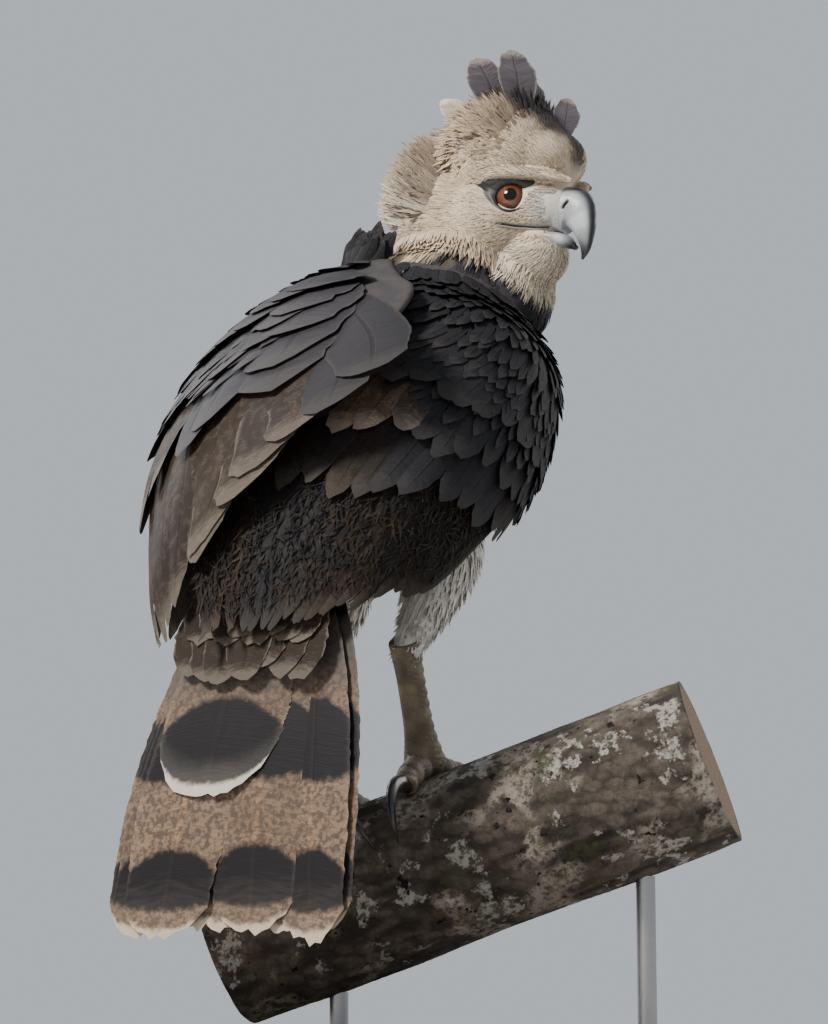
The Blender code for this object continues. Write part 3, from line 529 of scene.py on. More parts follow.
class Form:
    """A surface on a grid. It gives points, normals and the size of its shares anywhere on it."""

    def __init__(self, grid, wrap, centre=None):
        grid = np.asarray(grid, float)
        if wrap:
            grid = np.concatenate((grid, grid[:, :1]), 1)
        self.wrap = wrap
        rows, columns = grid.shape[:2]
        down = np.gradient(grid, axis=0) * (rows - 1)
        across = np.gradient(grid, axis=1) * (columns - 1)
        if wrap:
            seam = (grid[:, 1] - grid[:, -2]) * (columns - 1) / 2
            across[:, 0] = seam
            across[:, -1] = seam
        normal = unit(np.cross(down, across))
        heart = grid.reshape(-1, 3).mean(0) if centre is None else centre
        if ((grid - heart) * normal).sum() < 0:
            normal = -normal
        self.table = np.concatenate((grid, normal, down, across), -1)

    def read(self, a, b):
        """Point, normal, step along a and step along b, blended from the four nearest corners."""
        rows, columns = self.table.shape[:2]
        b = np.mod(b, 1.0) if self.wrap else np.clip(b, 0, 1)
        x = np.clip(a, 0, 1) * (rows - 1)
        y = b * (columns - 1)
        i = np.clip(x.astype(int), 0, rows - 2)
        j = np.clip(y.astype(int), 0, columns - 2)
        f, g = (x - i)[..., None], (y - j)[..., None]
        t = self.table
        row = (t[i, j] * (1 - f) + t[i + 1, j] * f) * (1 - g)
        row = row + (t[i, j + 1] * (1 - f) + t[i + 1, j + 1] * f) * g
        return row[..., :3], unit(row[..., 3:6]), row[..., 6:9], row[..., 9:12]

    def rows_of(self, spacing, between, keep=None, first=0.0, last=1.0):
        """Roots in staggered rows: rows spacing apart, feathers between apart, in millimetres."""
        a, found = first, []
        while a < last:
            b = np.linspace(0, 1, 240, endpoint=False)
            _, _, down, across = self.read(np.full(240, a), b)
            girth = length_of(across)
            count = int(girth.mean() / between)
            if count > 2:
                share = np.concatenate(([0], np.cumsum(girth)))
                share = share / share[-1]
                wanted = np.arange(count) + 0.5 * (len(found) % 2) + dice.normal(0, 0.16, count)
                spots = np.interp(np.mod(wanted / count, 1.0), share, np.linspace(0, 1, 241))
                found.append(np.column_stack((np.full(count, a), spots)))
            a += spacing / np.median(length_of(down))
        roots = np.vstack(found)
        step = (last - first) / len(found)
        roots[:, 0] += dice.normal(0, 0.12, len(roots)) * step
        if keep is not None:
            roots = roots[keep(self.read(*roots.T)[0], roots)]
        return roots


print("forms ready")

# %% [markdown]
# A real vane is a thin blade on a shaft. Here it is a small grid of shares, along and across, closed
# by a flat lower side, so that each feather is a solid with an edge and not a sheet.

# %% Vanes


def vane_shape(count, rings, columns, narrow, blunt, taper=0.3, corner=2.0):
    """Shares along and across of count vanes' points: narrow at the quill, rounded at the tip.

    Width is narrow at the root, grows as a sine and loses taper near the tip. A ring's ends fall back
    by blunt times w to the power corner towards the tip, so the last ring draws the rounded end.
    """
    t = np.linspace(0, 1, rings) ** 0.9
    w = np.linspace(-1, 1, columns)
    width = narrow + (1 - narrow) * np.sin(np.minimum(t / 0.65, 1) * math.pi / 2)
    width = width * (1 - taper * smooth(0.7, 1.0, t))
    fall = blunt * abs(w[None]) ** corner * smooth(0.3, 1.0, t)[:, None]
    whole = (count, rings, columns)
    return np.broadcast_to(t[:, None] * (1 - fall), whole), np.broadcast_to(width[:, None] * w, whole)


def vane_values(t, w, metres):
    """What a finish reads from vanes: how far across, how far along, and how long they are."""
    return np.stack((w / np.maximum(abs(w).max(axis=-1, keepdims=True), 0.2), t, metres + 0 * t), -1)


def per_feather(count, *values):
    """Numbers, or one value for each of count feathers, shaped to fit their rings and columns."""
    return [np.broadcast_to(np.asarray(v, float), (count,))[:, None, None] for v in values]


def vane_faces(count, rings, columns):
    """Faces of count closed vanes: the arched upper side, a flat lower side, and two ends."""
    one = rings * columns
    start = (np.arange(count) * one)[:, None, None]
    upper = grid_faces(rings, columns, wrap=False)[None] + start
    r = np.arange(rings - 1) * columns
    lower = np.stack((r, r + columns, r + 2 * columns - 1, r + columns - 1), -1)[None] + start
    ends = np.stack((np.arange(columns)[::-1], one - columns + np.arange(columns)))[None] + start
    return [faces.reshape(-1, faces.shape[-1])[:, ::-1] for faces in (upper, lower, ends)]


print("vanes ready")

# %% [markdown]
# A feather is planted at a root on a form. Its vane follows the form for the feather's whole length,
# so a coat bends with the body. All feathers of a coat are worked out at once and joined in one mesh.

# %% Planting feathers


def plant(form, roots, length, half_width, course=0.0, rings=5, columns=3, narrow=0.35, blunt=0.3,
          sink=-2.0, rise=3.0, curl=0.0, camber=0.14, fray=0.0):
    """Feathers on a form. Each keeps to the surface and climbs from sink to rise over it.

    course turns a feather off the form's lie, in radians. Numbers or one value a feather may be
    given. A point stands off the form by sink + (rise - sink) t + curl t^3 - camber * width * w^2.
    """
    count = len(roots)
    length, half_width, course, sink, rise, curl = per_feather(
        count, length, half_width, course, sink, rise, curl
    )
    t, w = vane_shape(count, rings, columns, narrow, blunt)
    if fray:
        notch = dice.uniform(-fray, fray, t.shape)
        t = t + notch * smooth(0.5, 1.0, t) * 0.5
        w = w * (1 + notch * smooth(0.2, 0.7, t))
    _, _, down, across = form.read(*roots.T)
    step_a, step_b = (length_of(step)[:, None, None] for step in (down, across))
    x, y = t * length, w * half_width
    a = roots[:, :1, None] + (x * np.cos(course) - y * np.sin(course)) / np.maximum(step_a, 1.0)
    b = roots[:, 1:, None] + (x * np.sin(course) + y * np.cos(course)) / np.maximum(step_b, 1.0)
    points, normals, _, _ = form.read(a, b)
    height = sink + (rise - sink) * t + curl * t**3 - camber * half_width * w**2
    past = np.clip(a - 1, 0, 0.05)[..., None] * down[:, None, None]
    return points + past + normals * height[..., None], vane_values(t, w, length * MM)


def coat_piece(name, parts, slot, *nodes, patch=0.003, finish=soft_feather):
    """One piece from planted feathers: parts holds points and vanes, tints, marks and cells.

    A feather's patch of the map OFBake lies at its cell and is patch wide.
    """
    spots, vanes, tints, marks, patches, base, by_columns = [], [], [], [], [], 0, {}
    for (points, vane), tint, mark, cells in parts:
        count, rings, columns = points.shape[:3]
        each = rings * columns
        stores = by_columns.setdefault(columns, ([], [], []))
        for store, found in zip(stores, vane_faces(count, rings, columns)):
            store.append(found + base)
        base += count * each
        spots.append(points.reshape(-1, 3))
        vanes.append(vane.reshape(-1, 3))
        tints.append(np.repeat(tint, each, axis=0))
        marks.append(np.repeat(mark, each, axis=0))
        middle = 0.02 + 0.96 * np.mod(cells, 1.0)
        corner = vane[..., :2] * (0.5, 1.0) - (0.0, 0.5)
        patches.append((middle[:, None, None] + patch * corner).reshape(-1, 2))
    sets = [np.concatenate(found) for trio in by_columns.values() for found in trio]
    mesh = mesh_from(name, np.vstack(spots), *sets)
    add_values(mesh, vane=np.vstack(vanes), marks=np.vstack(marks), tint=np.vstack(tints))
    corners = np.empty(len(mesh.loops), np.int32)
    mesh.loops.foreach_get("vertex_index", corners)
    places = np.vstack(patches)[corners].astype(np.float32)
    mesh.uv_layers.new(name="OFBake").data.foreach_set("uv", places.ravel())
    add_piece(name, mesh, finish, slot, *nodes, sharp=50)


print("planting ready")

# %% [markdown]
# Trunk and neck are planned as one swelling tube, the thighs as two tapering ones, and the tail by
# its middle line. All numbers of the plans are the solids' own, in millimetres.

# %% Plans of the body
TRUNK = (  # middle line, half width, half depth to the back and the front
    (27, 150, 182, 38, 32, 34),
    (24, 80, 256, 98, 72, 92),
    (12, 14, 350, 132, 88, 118),
    (-9, -42, 440, 117, 81, 112),
    (-38, -67, 506, 79, 70, 80),
    (-40, -72, 546, 66, 62, 66),
)
THIGHS = {  # middle line and radius
    "right": ((-56, 8, 283, 50), (-56, -8, 222, 43), (-54, 12, 178, 30), (-53, 38, 145, 21),
              (-52, 54, 124, 16)),
    "left": ((61, 15, 267, 55), (65, 4, 196, 48), (66, 28, 150, 34), (64, 54, 117, 23),
             (62, 70, 96, 16)),
}
TAIL_LINE = ((20, 156, 190), (24, 186, 90), (38, 204, -30), (50, 211, -152))


def thigh_grid(side, inset=0.0):
    keys = [(x, y, z, *[max(r - inset * r / 45, 5)] * 3) for x, y, z, r in THIGHS[side]]
    return loft_grid(keys, 50, 48)


trunk_grid = loft_grid(TRUNK, 90, 120)
print("trunk and thighs planned:", trunk_grid.shape, "points on the trunk")

# %% [markdown]
# The head is planned as eight round lobes, with low swells on the face and a brow over each eye. It
# is turned as a whole, so its plan can be made facing forward.

# %% Plan of the head
EYES = np.array((-120.0, -68.0, 580.5))
HEAD_TURN = math.radians(98.0)
HEAD_CENTRE = np.array((-45.0, 0.0, 8.0))
HEAD_LOBES = np.array(  # middle and radii, forward, left and up from between the eyes
    (
        (-88, 0, -14, 58, 60, 76),
        (-19, 0, 48, 62, 56, 59),
        (-40, 0, -18, 62, 55, 52),
        (14, 0, -6, 44, 33, 33),
        (38, 0, -10, 24, 17, 22),
        (24, 0, 38, 42, 36, 32),
        (8, 0, -56, 38, 30, 32),
        (-18, 0, -90, 42, 44, 46),
    ),
    float,
)
LOBE_BLEND = 0.32
FACE_SWELLS = (  # middle, width, height, and how far it stands out
    ((3, 40, -1), 15, 11, -8.5),
    ((28, 26, -4), 13, 9, -3.0),
    ((-12, 42, -22), 20, 13, 3.5),
    ((-58, 58, 6), 14, 40, -4.0),
)
BROW = (
    (-28, 43, 16, 2.5),
    (-8, 45, 22, 6.0),
    (11, 42, 21, 6.5),
    (30, 33, 18, 6.0),
    (50, 24, 14, 5.5),
    (66, 16, 8, 3.5),
)
HEAD_AXES = np.array(
    (
        (-math.sin(HEAD_TURN), -math.cos(HEAD_TURN), 0.0),
        (math.cos(HEAD_TURN), -math.sin(HEAD_TURN), 0.0),
        (0.0, 0.0, 1.0),
    )
)


def from_head(points):
    """Places of head points: forward, to its left and up, from the point between the eyes."""
    return np.asarray(points) @ HEAD_AXES + EYES


def in_head(points):
    return (np.asarray(points) - EYES) @ HEAD_AXES.T


print("head planned with", len(HEAD_LOBES), "lobes and turned", round(math.degrees(HEAD_TURN)), "degrees")

# %% [markdown]
# The lobes have to melt into each other without a crease. A ray from the head's centre finds how far
# each lobe reaches, and a soft maximum of those reaches gives one smooth surface.

# %% Surface of the head


def head_reach(ways):
    """How far the head reaches from its centre: a soft maximum over the lobes, then the swells."""
    centres, radii = HEAD_LOBES[:, :3], HEAD_LOBES[:, 3:]
    start = (HEAD_CENTRE - centres) / radii
    ray = ways[..., None, :] / radii
    a, b, c = (ray**2).sum(-1), (ray * start).sum(-1), (start**2).sum(-1) - 1
    inside = b * b - a * c
    reach = np.where(inside > 0, (-b + np.sqrt(np.maximum(inside, 0))) / a, 0.0)
    reach = np.log(np.exp(LOBE_BLEND * reach).sum(-1)) / LOBE_BLEND
    points = HEAD_CENTRE + ways * reach[..., None]
    for (x, y, z), broad, tall, height in FACE_SWELLS:
        dx = (points[..., 0] - x) / broad
        dy = (abs(points[..., 1]) - y) / 25
        dz = (points[..., 2] - z) / tall
        reach = reach + height * np.exp(-(dx**2 + dy**2 + dz**2))
    return reach


def head_grid(rings, around, inset=0.0, first=0.02, last=0.98):
    """Rings round the head's long axis, from the bill to the nape, starting at the crown."""
    lat = np.linspace(first, last, rings)[:, None] * math.pi
    lon = turns(around)
    ways = np.stack((np.cos(lat) + 0 * lon, np.sin(lat) * np.sin(lon), np.sin(lat) * np.cos(lon)), -1)
    return from_head(HEAD_CENTRE + ways * (head_reach(ways) - inset)[..., None])


def brow_grid(sign, inset=0.0):
    rows = [(x, sign * y, z, r - inset, r - inset, r - inset) for x, y, z, r in BROW]
    return from_head(loft_grid(rows, 30, 16, hint=UP))


print("the head spans", np.ptp(head_grid(40, 40).reshape(-1, 3), axis=0).round(), "mm")

# %% [markdown]
# Each folded wing lies on a sleeve round the trunk. u runs from the shoulder to the wing's tip, and
# a share runs from the trailing edge, near the spine, to the leading edge on the breast.

# %% Plans of the wings
SLEEVE = (  # middle line; half width right and left; half depth behind, right and left, and in front
    (-32, -52, 488, 98, 110, 80, 82, 84),
    (-18, -30, 430, 146, 180, 98, 104, 126),
    (2, 18, 345, 160, 209, 109, 120, 132),
    (16, 78, 255, 150, 198, 100, 112, 96),
    (26, 136, 172, 130, 150, 70, 74, 62),
    (33, 172, 110, 106, 106, 42, 40, 34),
)
SLEEVE_POWER = 2.3
SLEEVE_LENGTH = 470.0
WING_EDGES = {  # degrees from the spine to the trailing and the leading edge
    "right": ((2, 150), (3, 146), (-16, 142), (-22, 134), (-18, 108), (-8, 78)),
    "left": ((4, 150), (-16, 150), (-16, 148), (2, 142), (28, 130), (50, 112)),
}


def sleeve(side, u, angle, height):
    """A point on a wing's sleeve: u along, angle in degrees from the spine to that side.

    It is middle + across * width * sin + rear * depth * cos, then height along the way out.
    """
    table = np.array(SLEEVE, float)
    pick = 3 if side == "right" else 4
    keys = table[:, (0, 1, 2, pick, pick + 2, 7)]
    steps = np.linspace(0, 1, 41)
    rows = spline(keys, steps)
    _, across, front = along(rows[:, :3], X_AXIS)
    u = np.clip(np.asarray(u, float), -0.02, 1.12)
    table = np.hstack((rows, across, -front))
    at = np.stack([np.interp(u, steps, column) for column in table.T], -1)
    s, c = rounded(np.radians(angle) * SIDES[side], SLEEVE_POWER)
    wide, deep = at[..., 3], np.where(c > 0, at[..., 4], at[..., 5])
    beyond = np.maximum(u - 1, 0)[..., None] * SLEEVE_LENGTH * unit(rows[-1, :3] - rows[-2, :3])
    across, rear = at[..., 6:9], at[..., 9:12]
    ring = (wide * s)[..., None] * across + (deep * c)[..., None] * rear
    out = unit((s / wide)[..., None] * across + (c / deep)[..., None] * rear)
    return at[..., :3] + beyond + ring + out * np.asarray(height)[..., None]


def on_wing(side, u, share, height):
    """A point over the wing. The left wing droops open along its trailing edge: by
    30 mm times exp(-(share / 0.22)^2) times the sine of u to the power 0.7.
    """
    u, share = np.broadcast_arrays(np.asarray(u, float), np.asarray(share, float))
    edges = spline(WING_EDGES[side], np.clip(u, 0, 1))
    angle = edges[..., 0] + (edges[..., 1] - edges[..., 0]) * share
    lift = 30.0 * np.exp(-((np.maximum(share, 0) / 0.22) ** 2))
    lift = lift * np.sin(np.clip(u, 0, 1) * math.pi) ** 0.7
    return sleeve(side, u, angle, np.asarray(height) + (lift if side == "left" else 0.0))


def wing_core(side):
    """The flesh of a wing: its outer face, and an inner face that is deepest at the shoulder."""
    u = np.linspace(0.0, 0.5, 40)[:, None]
    share = np.linspace(0.0, 0.94, 60)
    outer = on_wing(side, u, share, -2.0 + 0 * share)
    deep = 9 + 62 * np.exp(-((u / 0.22) ** 2)) * np.sin(share * math.pi) ** 2
    inner = on_wing(side, u, share, -deep)
    return capped(np.concatenate((outer, inner[:, ::-1]), 1))


print("wings planned; the right one ends at", on_wing("right", 1.0, 0.5, 0.0).round(), "mm")

# %% [markdown]
# Markings are a rule on places, so the skin and the feathers on it always agree. Slate covers the
# back and wings, black the upper breast, white the belly and thighs, and pale buff the face.

# %% Markings
SLATE = np.array((0.030, 0.029, 0.034))
BROWN = np.array((0.086, 0.061, 0.044))
BLACK = np.array((0.014, 0.014, 0.017))
WHITE = np.array((0.72, 0.69, 0.64))
BUFF = np.array((0.47, 0.37, 0.27))
CREAM = np.array((0.60, 0.50, 0.38))
ASH = np.array((0.26, 0.22, 0.18))
LORES = np.array((0.46, 0.46, 0.45))
THROAT = np.array((0.49, 0.42, 0.33))
# the legs' yellow skin, dimmed by painted shade
LEG_IN_SHADE = np.array((0.15, 0.12, 0.075))


def blend(first, second, share):
    return first + (second - first) * np.asarray(share)[..., None]


def collar(forward):
    """How high the dark feathers reach up the neck, at a distance forward of the eyes."""
    return np.interp(forward, (-100, -80, -39, -2, 20, 36, 50), (-55, -55, -47, -70, -95, -118, -135))


def body_markings(points):
    """Tint, flecks and fringe of trunk and thigh feathers: black above and white below in front."""
    x, y, z = np.moveaxis(points, -1, 0)
    waver = (hash_noise(points, 0.035, 1) - 0.5) * 30
    spine = spline(TRUNK, np.clip((z - 182) / 364, 0, 1))[..., 1]
    behind = smooth(-25, 25, y - spine + waver)
    belly = smooth(418, 392, z + waver)
    tint = blend(blend(BLACK, WHITE, belly), SLATE, behind)
    spots = in_head(points)
    tint = blend(tint, BUFF, smooth(-2, 6, spots[..., 2] - collar(spots[..., 0])))
    return tint, behind * 0.10 + 0.05 * belly, 0.10 + 0.12 * behind


def head_markings(points):
    """Buff face, cream brow and throat, brown crown and ruff, dark round the crest and the collar."""
    x, y, z = np.moveaxis(in_head(points), -1, 0)
    side, waver = abs(y), (hash_noise(points, 0.06, 2) - 0.5) * 14
    fine = (hash_noise(points, 0.22, 6) - 0.5) * 10
    tint = blend(BUFF, CREAM, smooth(-60, 10, x + waver) * 0.8)
    lores = smooth(22, 36, x) * smooth(6, 0, z) * smooth(-34, -26, z)
    tint = blend(tint, LORES, lores * 0.8)
    throat = smooth(-26, -52, z + waver * 0.6) * smooth(-70, -30, x)
    tint = blend(tint, THROAT, throat * 0.85)
    nape = smooth(-60, -92, x + waver)
    tint = blend(tint, ASH * 1.2, nape * 0.8)
    crown = smooth(58, 84, z + waver * 1.3 + fine) * smooth(48, 28, x + fine)
    tint = blend(tint, BROWN * 1.5, crown)
    midline = smooth(26, 14, side + fine) * smooth(40, 62, z)
    midline = midline + smooth(12, 5, side + fine) * smooth(14, 34, z)
    tint = blend(tint, BLACK * 2.0, np.minimum(midline, 1) * smooth(-50, -20, x) * 0.85)
    shade = smooth(-52, -70, x + fine) * smooth(6, 24, z + waver)
    tint = blend(tint, BROWN * 1.9, shade * 0.5)
    below = smooth(2, -4, z - collar(x) + fine * 0.6)
    tint = blend(tint, BLACK * 1.1, below)
    return tint, 0.10 + 0.2 * crown + 0.2 * nape, 0.25 + 0.3 * nape - 0.1 * below


def one_colour(colour, fleck=0.0, fringe=0.0):
    """A rule of markings that gives every feather the same."""
    return lambda points: (colour + 0 * points, fleck + 0 * points[:, 0], fringe + 0 * points[:, 0])


def marks_of(points, rule):
    """Tint and marks of the feathers rooted at points, with a chance of its own for each."""
    tint, flecks, fringe = rule(points)
    chance = dice.random(len(points))
    tint = tint * dice.normal(1.0, 0.07, (len(points), 1))
    return np.clip(tint, 0.004, 0.9), np.column_stack((flecks, fringe, chance))


print("markings ready")

# %% [markdown]
# The branch is planned first, since the feet grip it. A place on its bark is named by how far along
# the branch it is and by its angle from the branch's top.

# %% Plan of the branch
BRANCH_RADIUS = 80.0
BRANCH_RISE = math.radians(19.9)
BRANCH_HEADING = math.radians(198.0)
BRANCH_LOW, BRANCH_HIGH = -190.0, 300.0
LEVEL, STEEP = math.cos(BRANCH_RISE), math.sin(BRANCH_RISE)
BRANCH_ALONG = np.array((LEVEL * math.cos(BRANCH_HEADING), LEVEL * math.sin(BRANCH_HEADING), STEEP))
BRANCH_UP = unit(UP - (UP @ BRANCH_ALONG) * BRANCH_ALONG)
BRANCH_FRONT = np.cross(BRANCH_UP, BRANCH_ALONG)


def branch_radius(s, angle):
    """A round branch with slow swells at its sides and five low ridges below."""
    swell = 3.0 * np.sin(s / 61 + 2 * np.sin(angle)) * np.sin(angle) ** 2
    ridges = 1.2 * np.sin(5 * angle + s / 43) * np.sin(angle / 2) ** 2
    return BRANCH_RADIUS + swell + ridges


def on_branch(s, angle, height=0.0):
    """A point over the bark: s along it, angle from its top towards the bird's front, height."""
    s, angle = np.asarray(s, float), np.asarray(angle, float)
    out = branch_radius(s, angle) + height
    rise = (out * np.cos(angle) - BRANCH_RADIUS)[..., None] * BRANCH_UP
    return s[..., None] * BRANCH_ALONG + rise + (out * np.sin(angle))[..., None] * BRANCH_FRONT


def out_of_bark(s, angle):
    return on_branch(s, angle, 1.0) - on_branch(s, angle, 0.0)


print("branch planned; its middle line rises", round(math.degrees(BRANCH_RISE), 1), "degrees")

# %% [markdown]
# The shanks and toes of an eagle are bare, with plates down the shank's front and along the top of
# each toe. Each is a loft whose rings swell to a plate's lower edge and then drop.

# %% Legs and feet
FOOT_PLACES = {"left": -46.0, "right": 46.0}
FOOT_HEIGHT = 15.0
TARSUS_RADII = (15.0, 13.0, 13.0, 14.5, 20.0)
TOES = {  # heading from the branch's front in degrees, length, radius at both ends, length of the claw
    "hallux": (161.0, 50.0, 14.5, 10.5, 72.0),
    "inner": (19.0, 62.0, 13.5, 9.5, 54.0),
    "middle": (0.0, 84.0, 12.5, 9.0, 46.0),
    "outer": (-30.0, 64.0, 11.5, 8.5, 38.0),
}


def scuted(keys, scutes, around, height, hint, rings=90):
    """A loft whose rear is stepped into plates: each swells to its lower edge, then drops."""
    t = np.linspace(0, 1, rings)
    rows = spline(keys, t)
    path = rows[:, :3]
    _, across, rear = along(path, hint)
    angle = turns(around)
    step = np.mod(t * scutes, 1.0)
    plate = np.minimum(step * 1.4, 1.0) * smooth(1.0, 0.9, step) * height
    facing = smooth(-0.15, 0.35, np.cos(angle))
    small = 0.35 * np.sin(t * scutes * 2 * math.pi * 2.0)[:, None] * np.sin(angle * 9) * (1 - facing)
    out = rows[:, 3:4] + plate[:, None] * facing + small
    return capped(ring_points(path, across, rear, out * np.sin(angle), out * np.cos(angle)))


def toe_course(side, toe, reach):
    """Where a toe lies at a distance from the foot: how far along the branch, and the angle."""
    turn = math.radians(TOES[toe][0]) * SIDES[side]
    return FOOT_PLACES[side] + reach * math.sin(turn), reach * math.cos(turn) / BRANCH_RADIUS


def toe_line(side, toe, shares):
    """A toe's middle line on the bark, the way out from the bark, and its radius with pads."""
    _, length, thick, thin, _ = TOES[toe]
    course = toe_course(side, toe, length * shares)
    radius = thick + (thin - thick) * shares
    knuckles = 1.5 * np.sin(shares * 3 * math.pi) ** 2
    points = on_branch(*course, 0.8 * radius + knuckles)
    return points, out_of_bark(*course), radius + 0.9 * np.cos(shares * 6 * math.pi)


def ball(centre, radii, axes=np.eye(3), rings=24, around=36):
    """An ellipsoid, its poles on its third axis."""
    lat = np.linspace(0.03, math.pi - 0.03, rings)[:, None]
    lon = turns(around)
    local = np.stack((np.sin(lat) * np.cos(lon), np.sin(lat) * np.sin(lon), np.cos(lat) + 0 * lon), -1)
    return capped(local * radii @ np.asarray(axes) + centre)


def leg_shapes(side):
    """The shank from the thigh to the foot, the ball of the foot, and four toes."""
    top = np.array(THIGHS[side][-1][:3], float) + (0, 0, 14)
    middle = on_branch(FOOT_PLACES[side], 0.0, FOOT_HEIGHT)
    path = top + (middle - top) * np.linspace(0, 1, 5)[:, None]
    yield scuted(np.column_stack((path, TARSUS_RADII)), 11, 60, 1.5, X_AXIS, 160)
    yield ball(middle - (0, 0, 2), (19, 19, 15))
    for toe in TOES:
        points, out, radius = toe_line(side, toe, np.linspace(0.0, 1, 19))
        hint = np.cross(out[0], points[-1] - points[0])
        yield scuted(np.column_stack((points, radius)), 8, 48, 1.1, hint, 120)


print("legs and toes planned")

# %% [markdown]
# The skin is fused from closed shapes that sit inside the coat, and its legs are fused again in
# finer cells, because their scutes are small. It carries the same markings as the feathers.

# %% Skin
BODY_CELL, LEG_CELL = 2.6, 1.1  # millimetres
skin_shapes = [
    capped(loft_grid(np.array(TRUNK) - (0, 0, 0, 9, 9, 9), 60, 90)),
    capped(head_grid(120, 140, 2.0)),
    *[capped(brow_grid(sign, 1.0)) for sign in (1, -1)],
    *[capped(thigh_grid(side, 9.0)) for side in SIDES],
    *[wing_core(side) for side in SIDES],
    ball(spline(TAIL_LINE, 0.08) + (0, 4, 0), (44, 13, 48)),
]
body_skin = fused("body_skin", skin_shapes, BODY_CELL)
legs_skin = fused("legs_skin", [shape for side in SIDES for shape in leg_shapes(side)], LEG_CELL)
skin_mesh = join_meshes("eagle_skin", [body_skin, legs_skin])
skin_points = points_of(skin_mesh)
spots = in_head(skin_points) - HEAD_CENTRE
on_head = smooth(1.09, 1.03, length_of(spots) / head_reach(unit(spots)))
tint = blend(body_markings(skin_points)[0] * 0.8, head_markings(skin_points)[0], on_head)
is_leg = np.arange(len(skin_points)) >= len(body_skin.vertices)
horny = hash_noise(skin_points, 0.09, 5)[:, None]
# the legs take their yellow dimmed by painted shade, with horny patches
tint = np.where(is_leg[:, None], LEG_IN_SHADE * (0.5 + 0.9 * horny), tint)
add_values(skin_mesh, tint=tint, marks=np.column_stack((is_leg, on_head, is_leg)))

skin = Finish("bird_skin", Specular_IOR_Level=0.4)
place, zones = skin.place(), skin.stored("marks")
leg, bare = zones.part(0), 1.0 - zones.part(1)
pores = skin.cells(place, 420.0)
grime = skin.noise(place, 60.0, 4.0)
tone = skin.mixed(grime.between(0.62, 0.4) * bare * 0.45, skin.stored("tint", 0), (0.05, 0.04, 0.035))
skin.give(Base_Color=tone, Roughness=0.75 - leg * 0.22 + grime * 0.1)
skin.relief(pores * leg + skin.noise(place, 900.0) * 0.5, 0.0006)
flesh = [f"{part}_{side}" for part in ("thigh", "tarsus", "foot") for side in SIDES]
add_piece("eagle_skin", skin_mesh, skin.material, "yellow_skin", "torso", "neck", "head", *flesh)

# %% [markdown]
# The small feathers of trunk, neck and thighs are planted in staggered rows. Those that the folded
# wings hide are left out. Breast feathers hang long and loose, and thigh feathers are like hair.

# %% Coat of the trunk
trunk_form = Form(trunk_grid[::-1], True)


def trunk_seen(points, roots):
    """Whether a trunk feather shows: above the shoulders, along the spine, or on the breast."""
    turn = np.degrees(np.minimum(roots[:, 1], 1 - roots[:, 1]) * 2 * math.pi)
    spots = in_head(points)
    dark = spots[:, 2] < collar(spots[:, 0]) + 1
    return ((points[:, 2] > 425) | (turn < 30) | (turn > 112)) & dark


def coat_of(form, roots, rule, length, width, **how):
    """Feathers at roots with the tints that a rule of markings gives there."""
    size = dice.uniform(0.85, 1.18, len(roots))
    wild = dice.normal(0, how.pop("wild", 0.1), len(roots))
    planted = plant(form, roots, length * size, width * size, wild, **how)
    return planted, *marks_of(form.read(*roots.T)[0], rule), roots


trunk_roots = trunk_form.rows_of(10.0, 10.0, trunk_seen, 0.0, 0.97)
low = smooth(500, 400, trunk_form.read(*trunk_roots.T)[0][:, 2])
in_front = smooth(0.2, 0.35, np.minimum(trunk_roots[:, 1], 1 - trunk_roots[:, 1]))
count = len(trunk_roots)
trunk_coat = coat_of(
    trunk_form, trunk_roots, body_markings, 32 + 12 * low, 9 + 3.5 * low - 2.5 * in_front,
    rings=6, columns=5, rise=3.5 + 3.0 * dice.random(count), curl=dice.normal(0, 1.2, count),
    fray=0.22, blunt=0.32, sink=-7.0,
)
coat_piece("coat_trunk", [trunk_coat], "slate_feathers")


def thigh_markings(points):
    """White plumes, finely barred with grey."""
    bars = smooth(0.55, 0.8, hash_noise(points, 0.08, 4))
    tint = blend(WHITE * 0.92, ASH, 0.25 * bars)
    return tint, 0.25 * bars, 0 * bars


for side in SIDES:
    form = Form(thigh_grid(side), True)
    roots = form.rows_of(7.5, 6.5, None, 0.0, 0.93)
    narrowing = 1 - 0.45 * roots[:, 0]
    plumes = coat_of(
        form, roots, thigh_markings, 34 * narrowing**1.6, 4.6 * narrowing, rings=6, columns=3,
        rise=0.8, curl=-1.0, fray=0.3, blunt=0.5, sink=-9.0, wild=0.14,
    )
    coat_piece(f"coat_thigh_{side}", [plumes], "white_feathers")

# %% [markdown]
# The plans of the face are needed before its feathers: the eyes with the bare skin round them, both
# halves of the bill, and the line of the mouth. An eye has axes of its own, across, up and out.

# %% Plans of the face
EYE_PLACE = np.array((1.0, 23.5, 0.0))
EYE_RADIUS, EYE_GAZE = 17.5, math.radians(27.0)
LID_RING = 14.6
BILL_UPPER = (  # forward, up, half width, half height above and below
    (34, -13, 17, 18, 20),
    (52, -14, 15, 21, 24),
    (63, -20, 12.5, 20, 21),
    (69, -33, 9.5, 13.5, 14),
    (71, -47, 6.4, 8, 9),
    (70, -58, 3.6, 4.8, 4.8),
    (66.5, -67, 0.9, 1.1, 1.1),
)
BILL_LOWER = ((22, -38, 19, 5, 8), (40, -42, 14.5, 6, 8.5), (53, -48, 9, 5, 6.5), (60, -54, 3.0, 2, 3))


def eye_axes(sign):
    """Across, up and out of an eye, in the head's axes."""
    out = np.array((math.sin(EYE_GAZE), sign * math.cos(EYE_GAZE), 0.0))
    return np.array((np.cross(UP, out), UP, out))


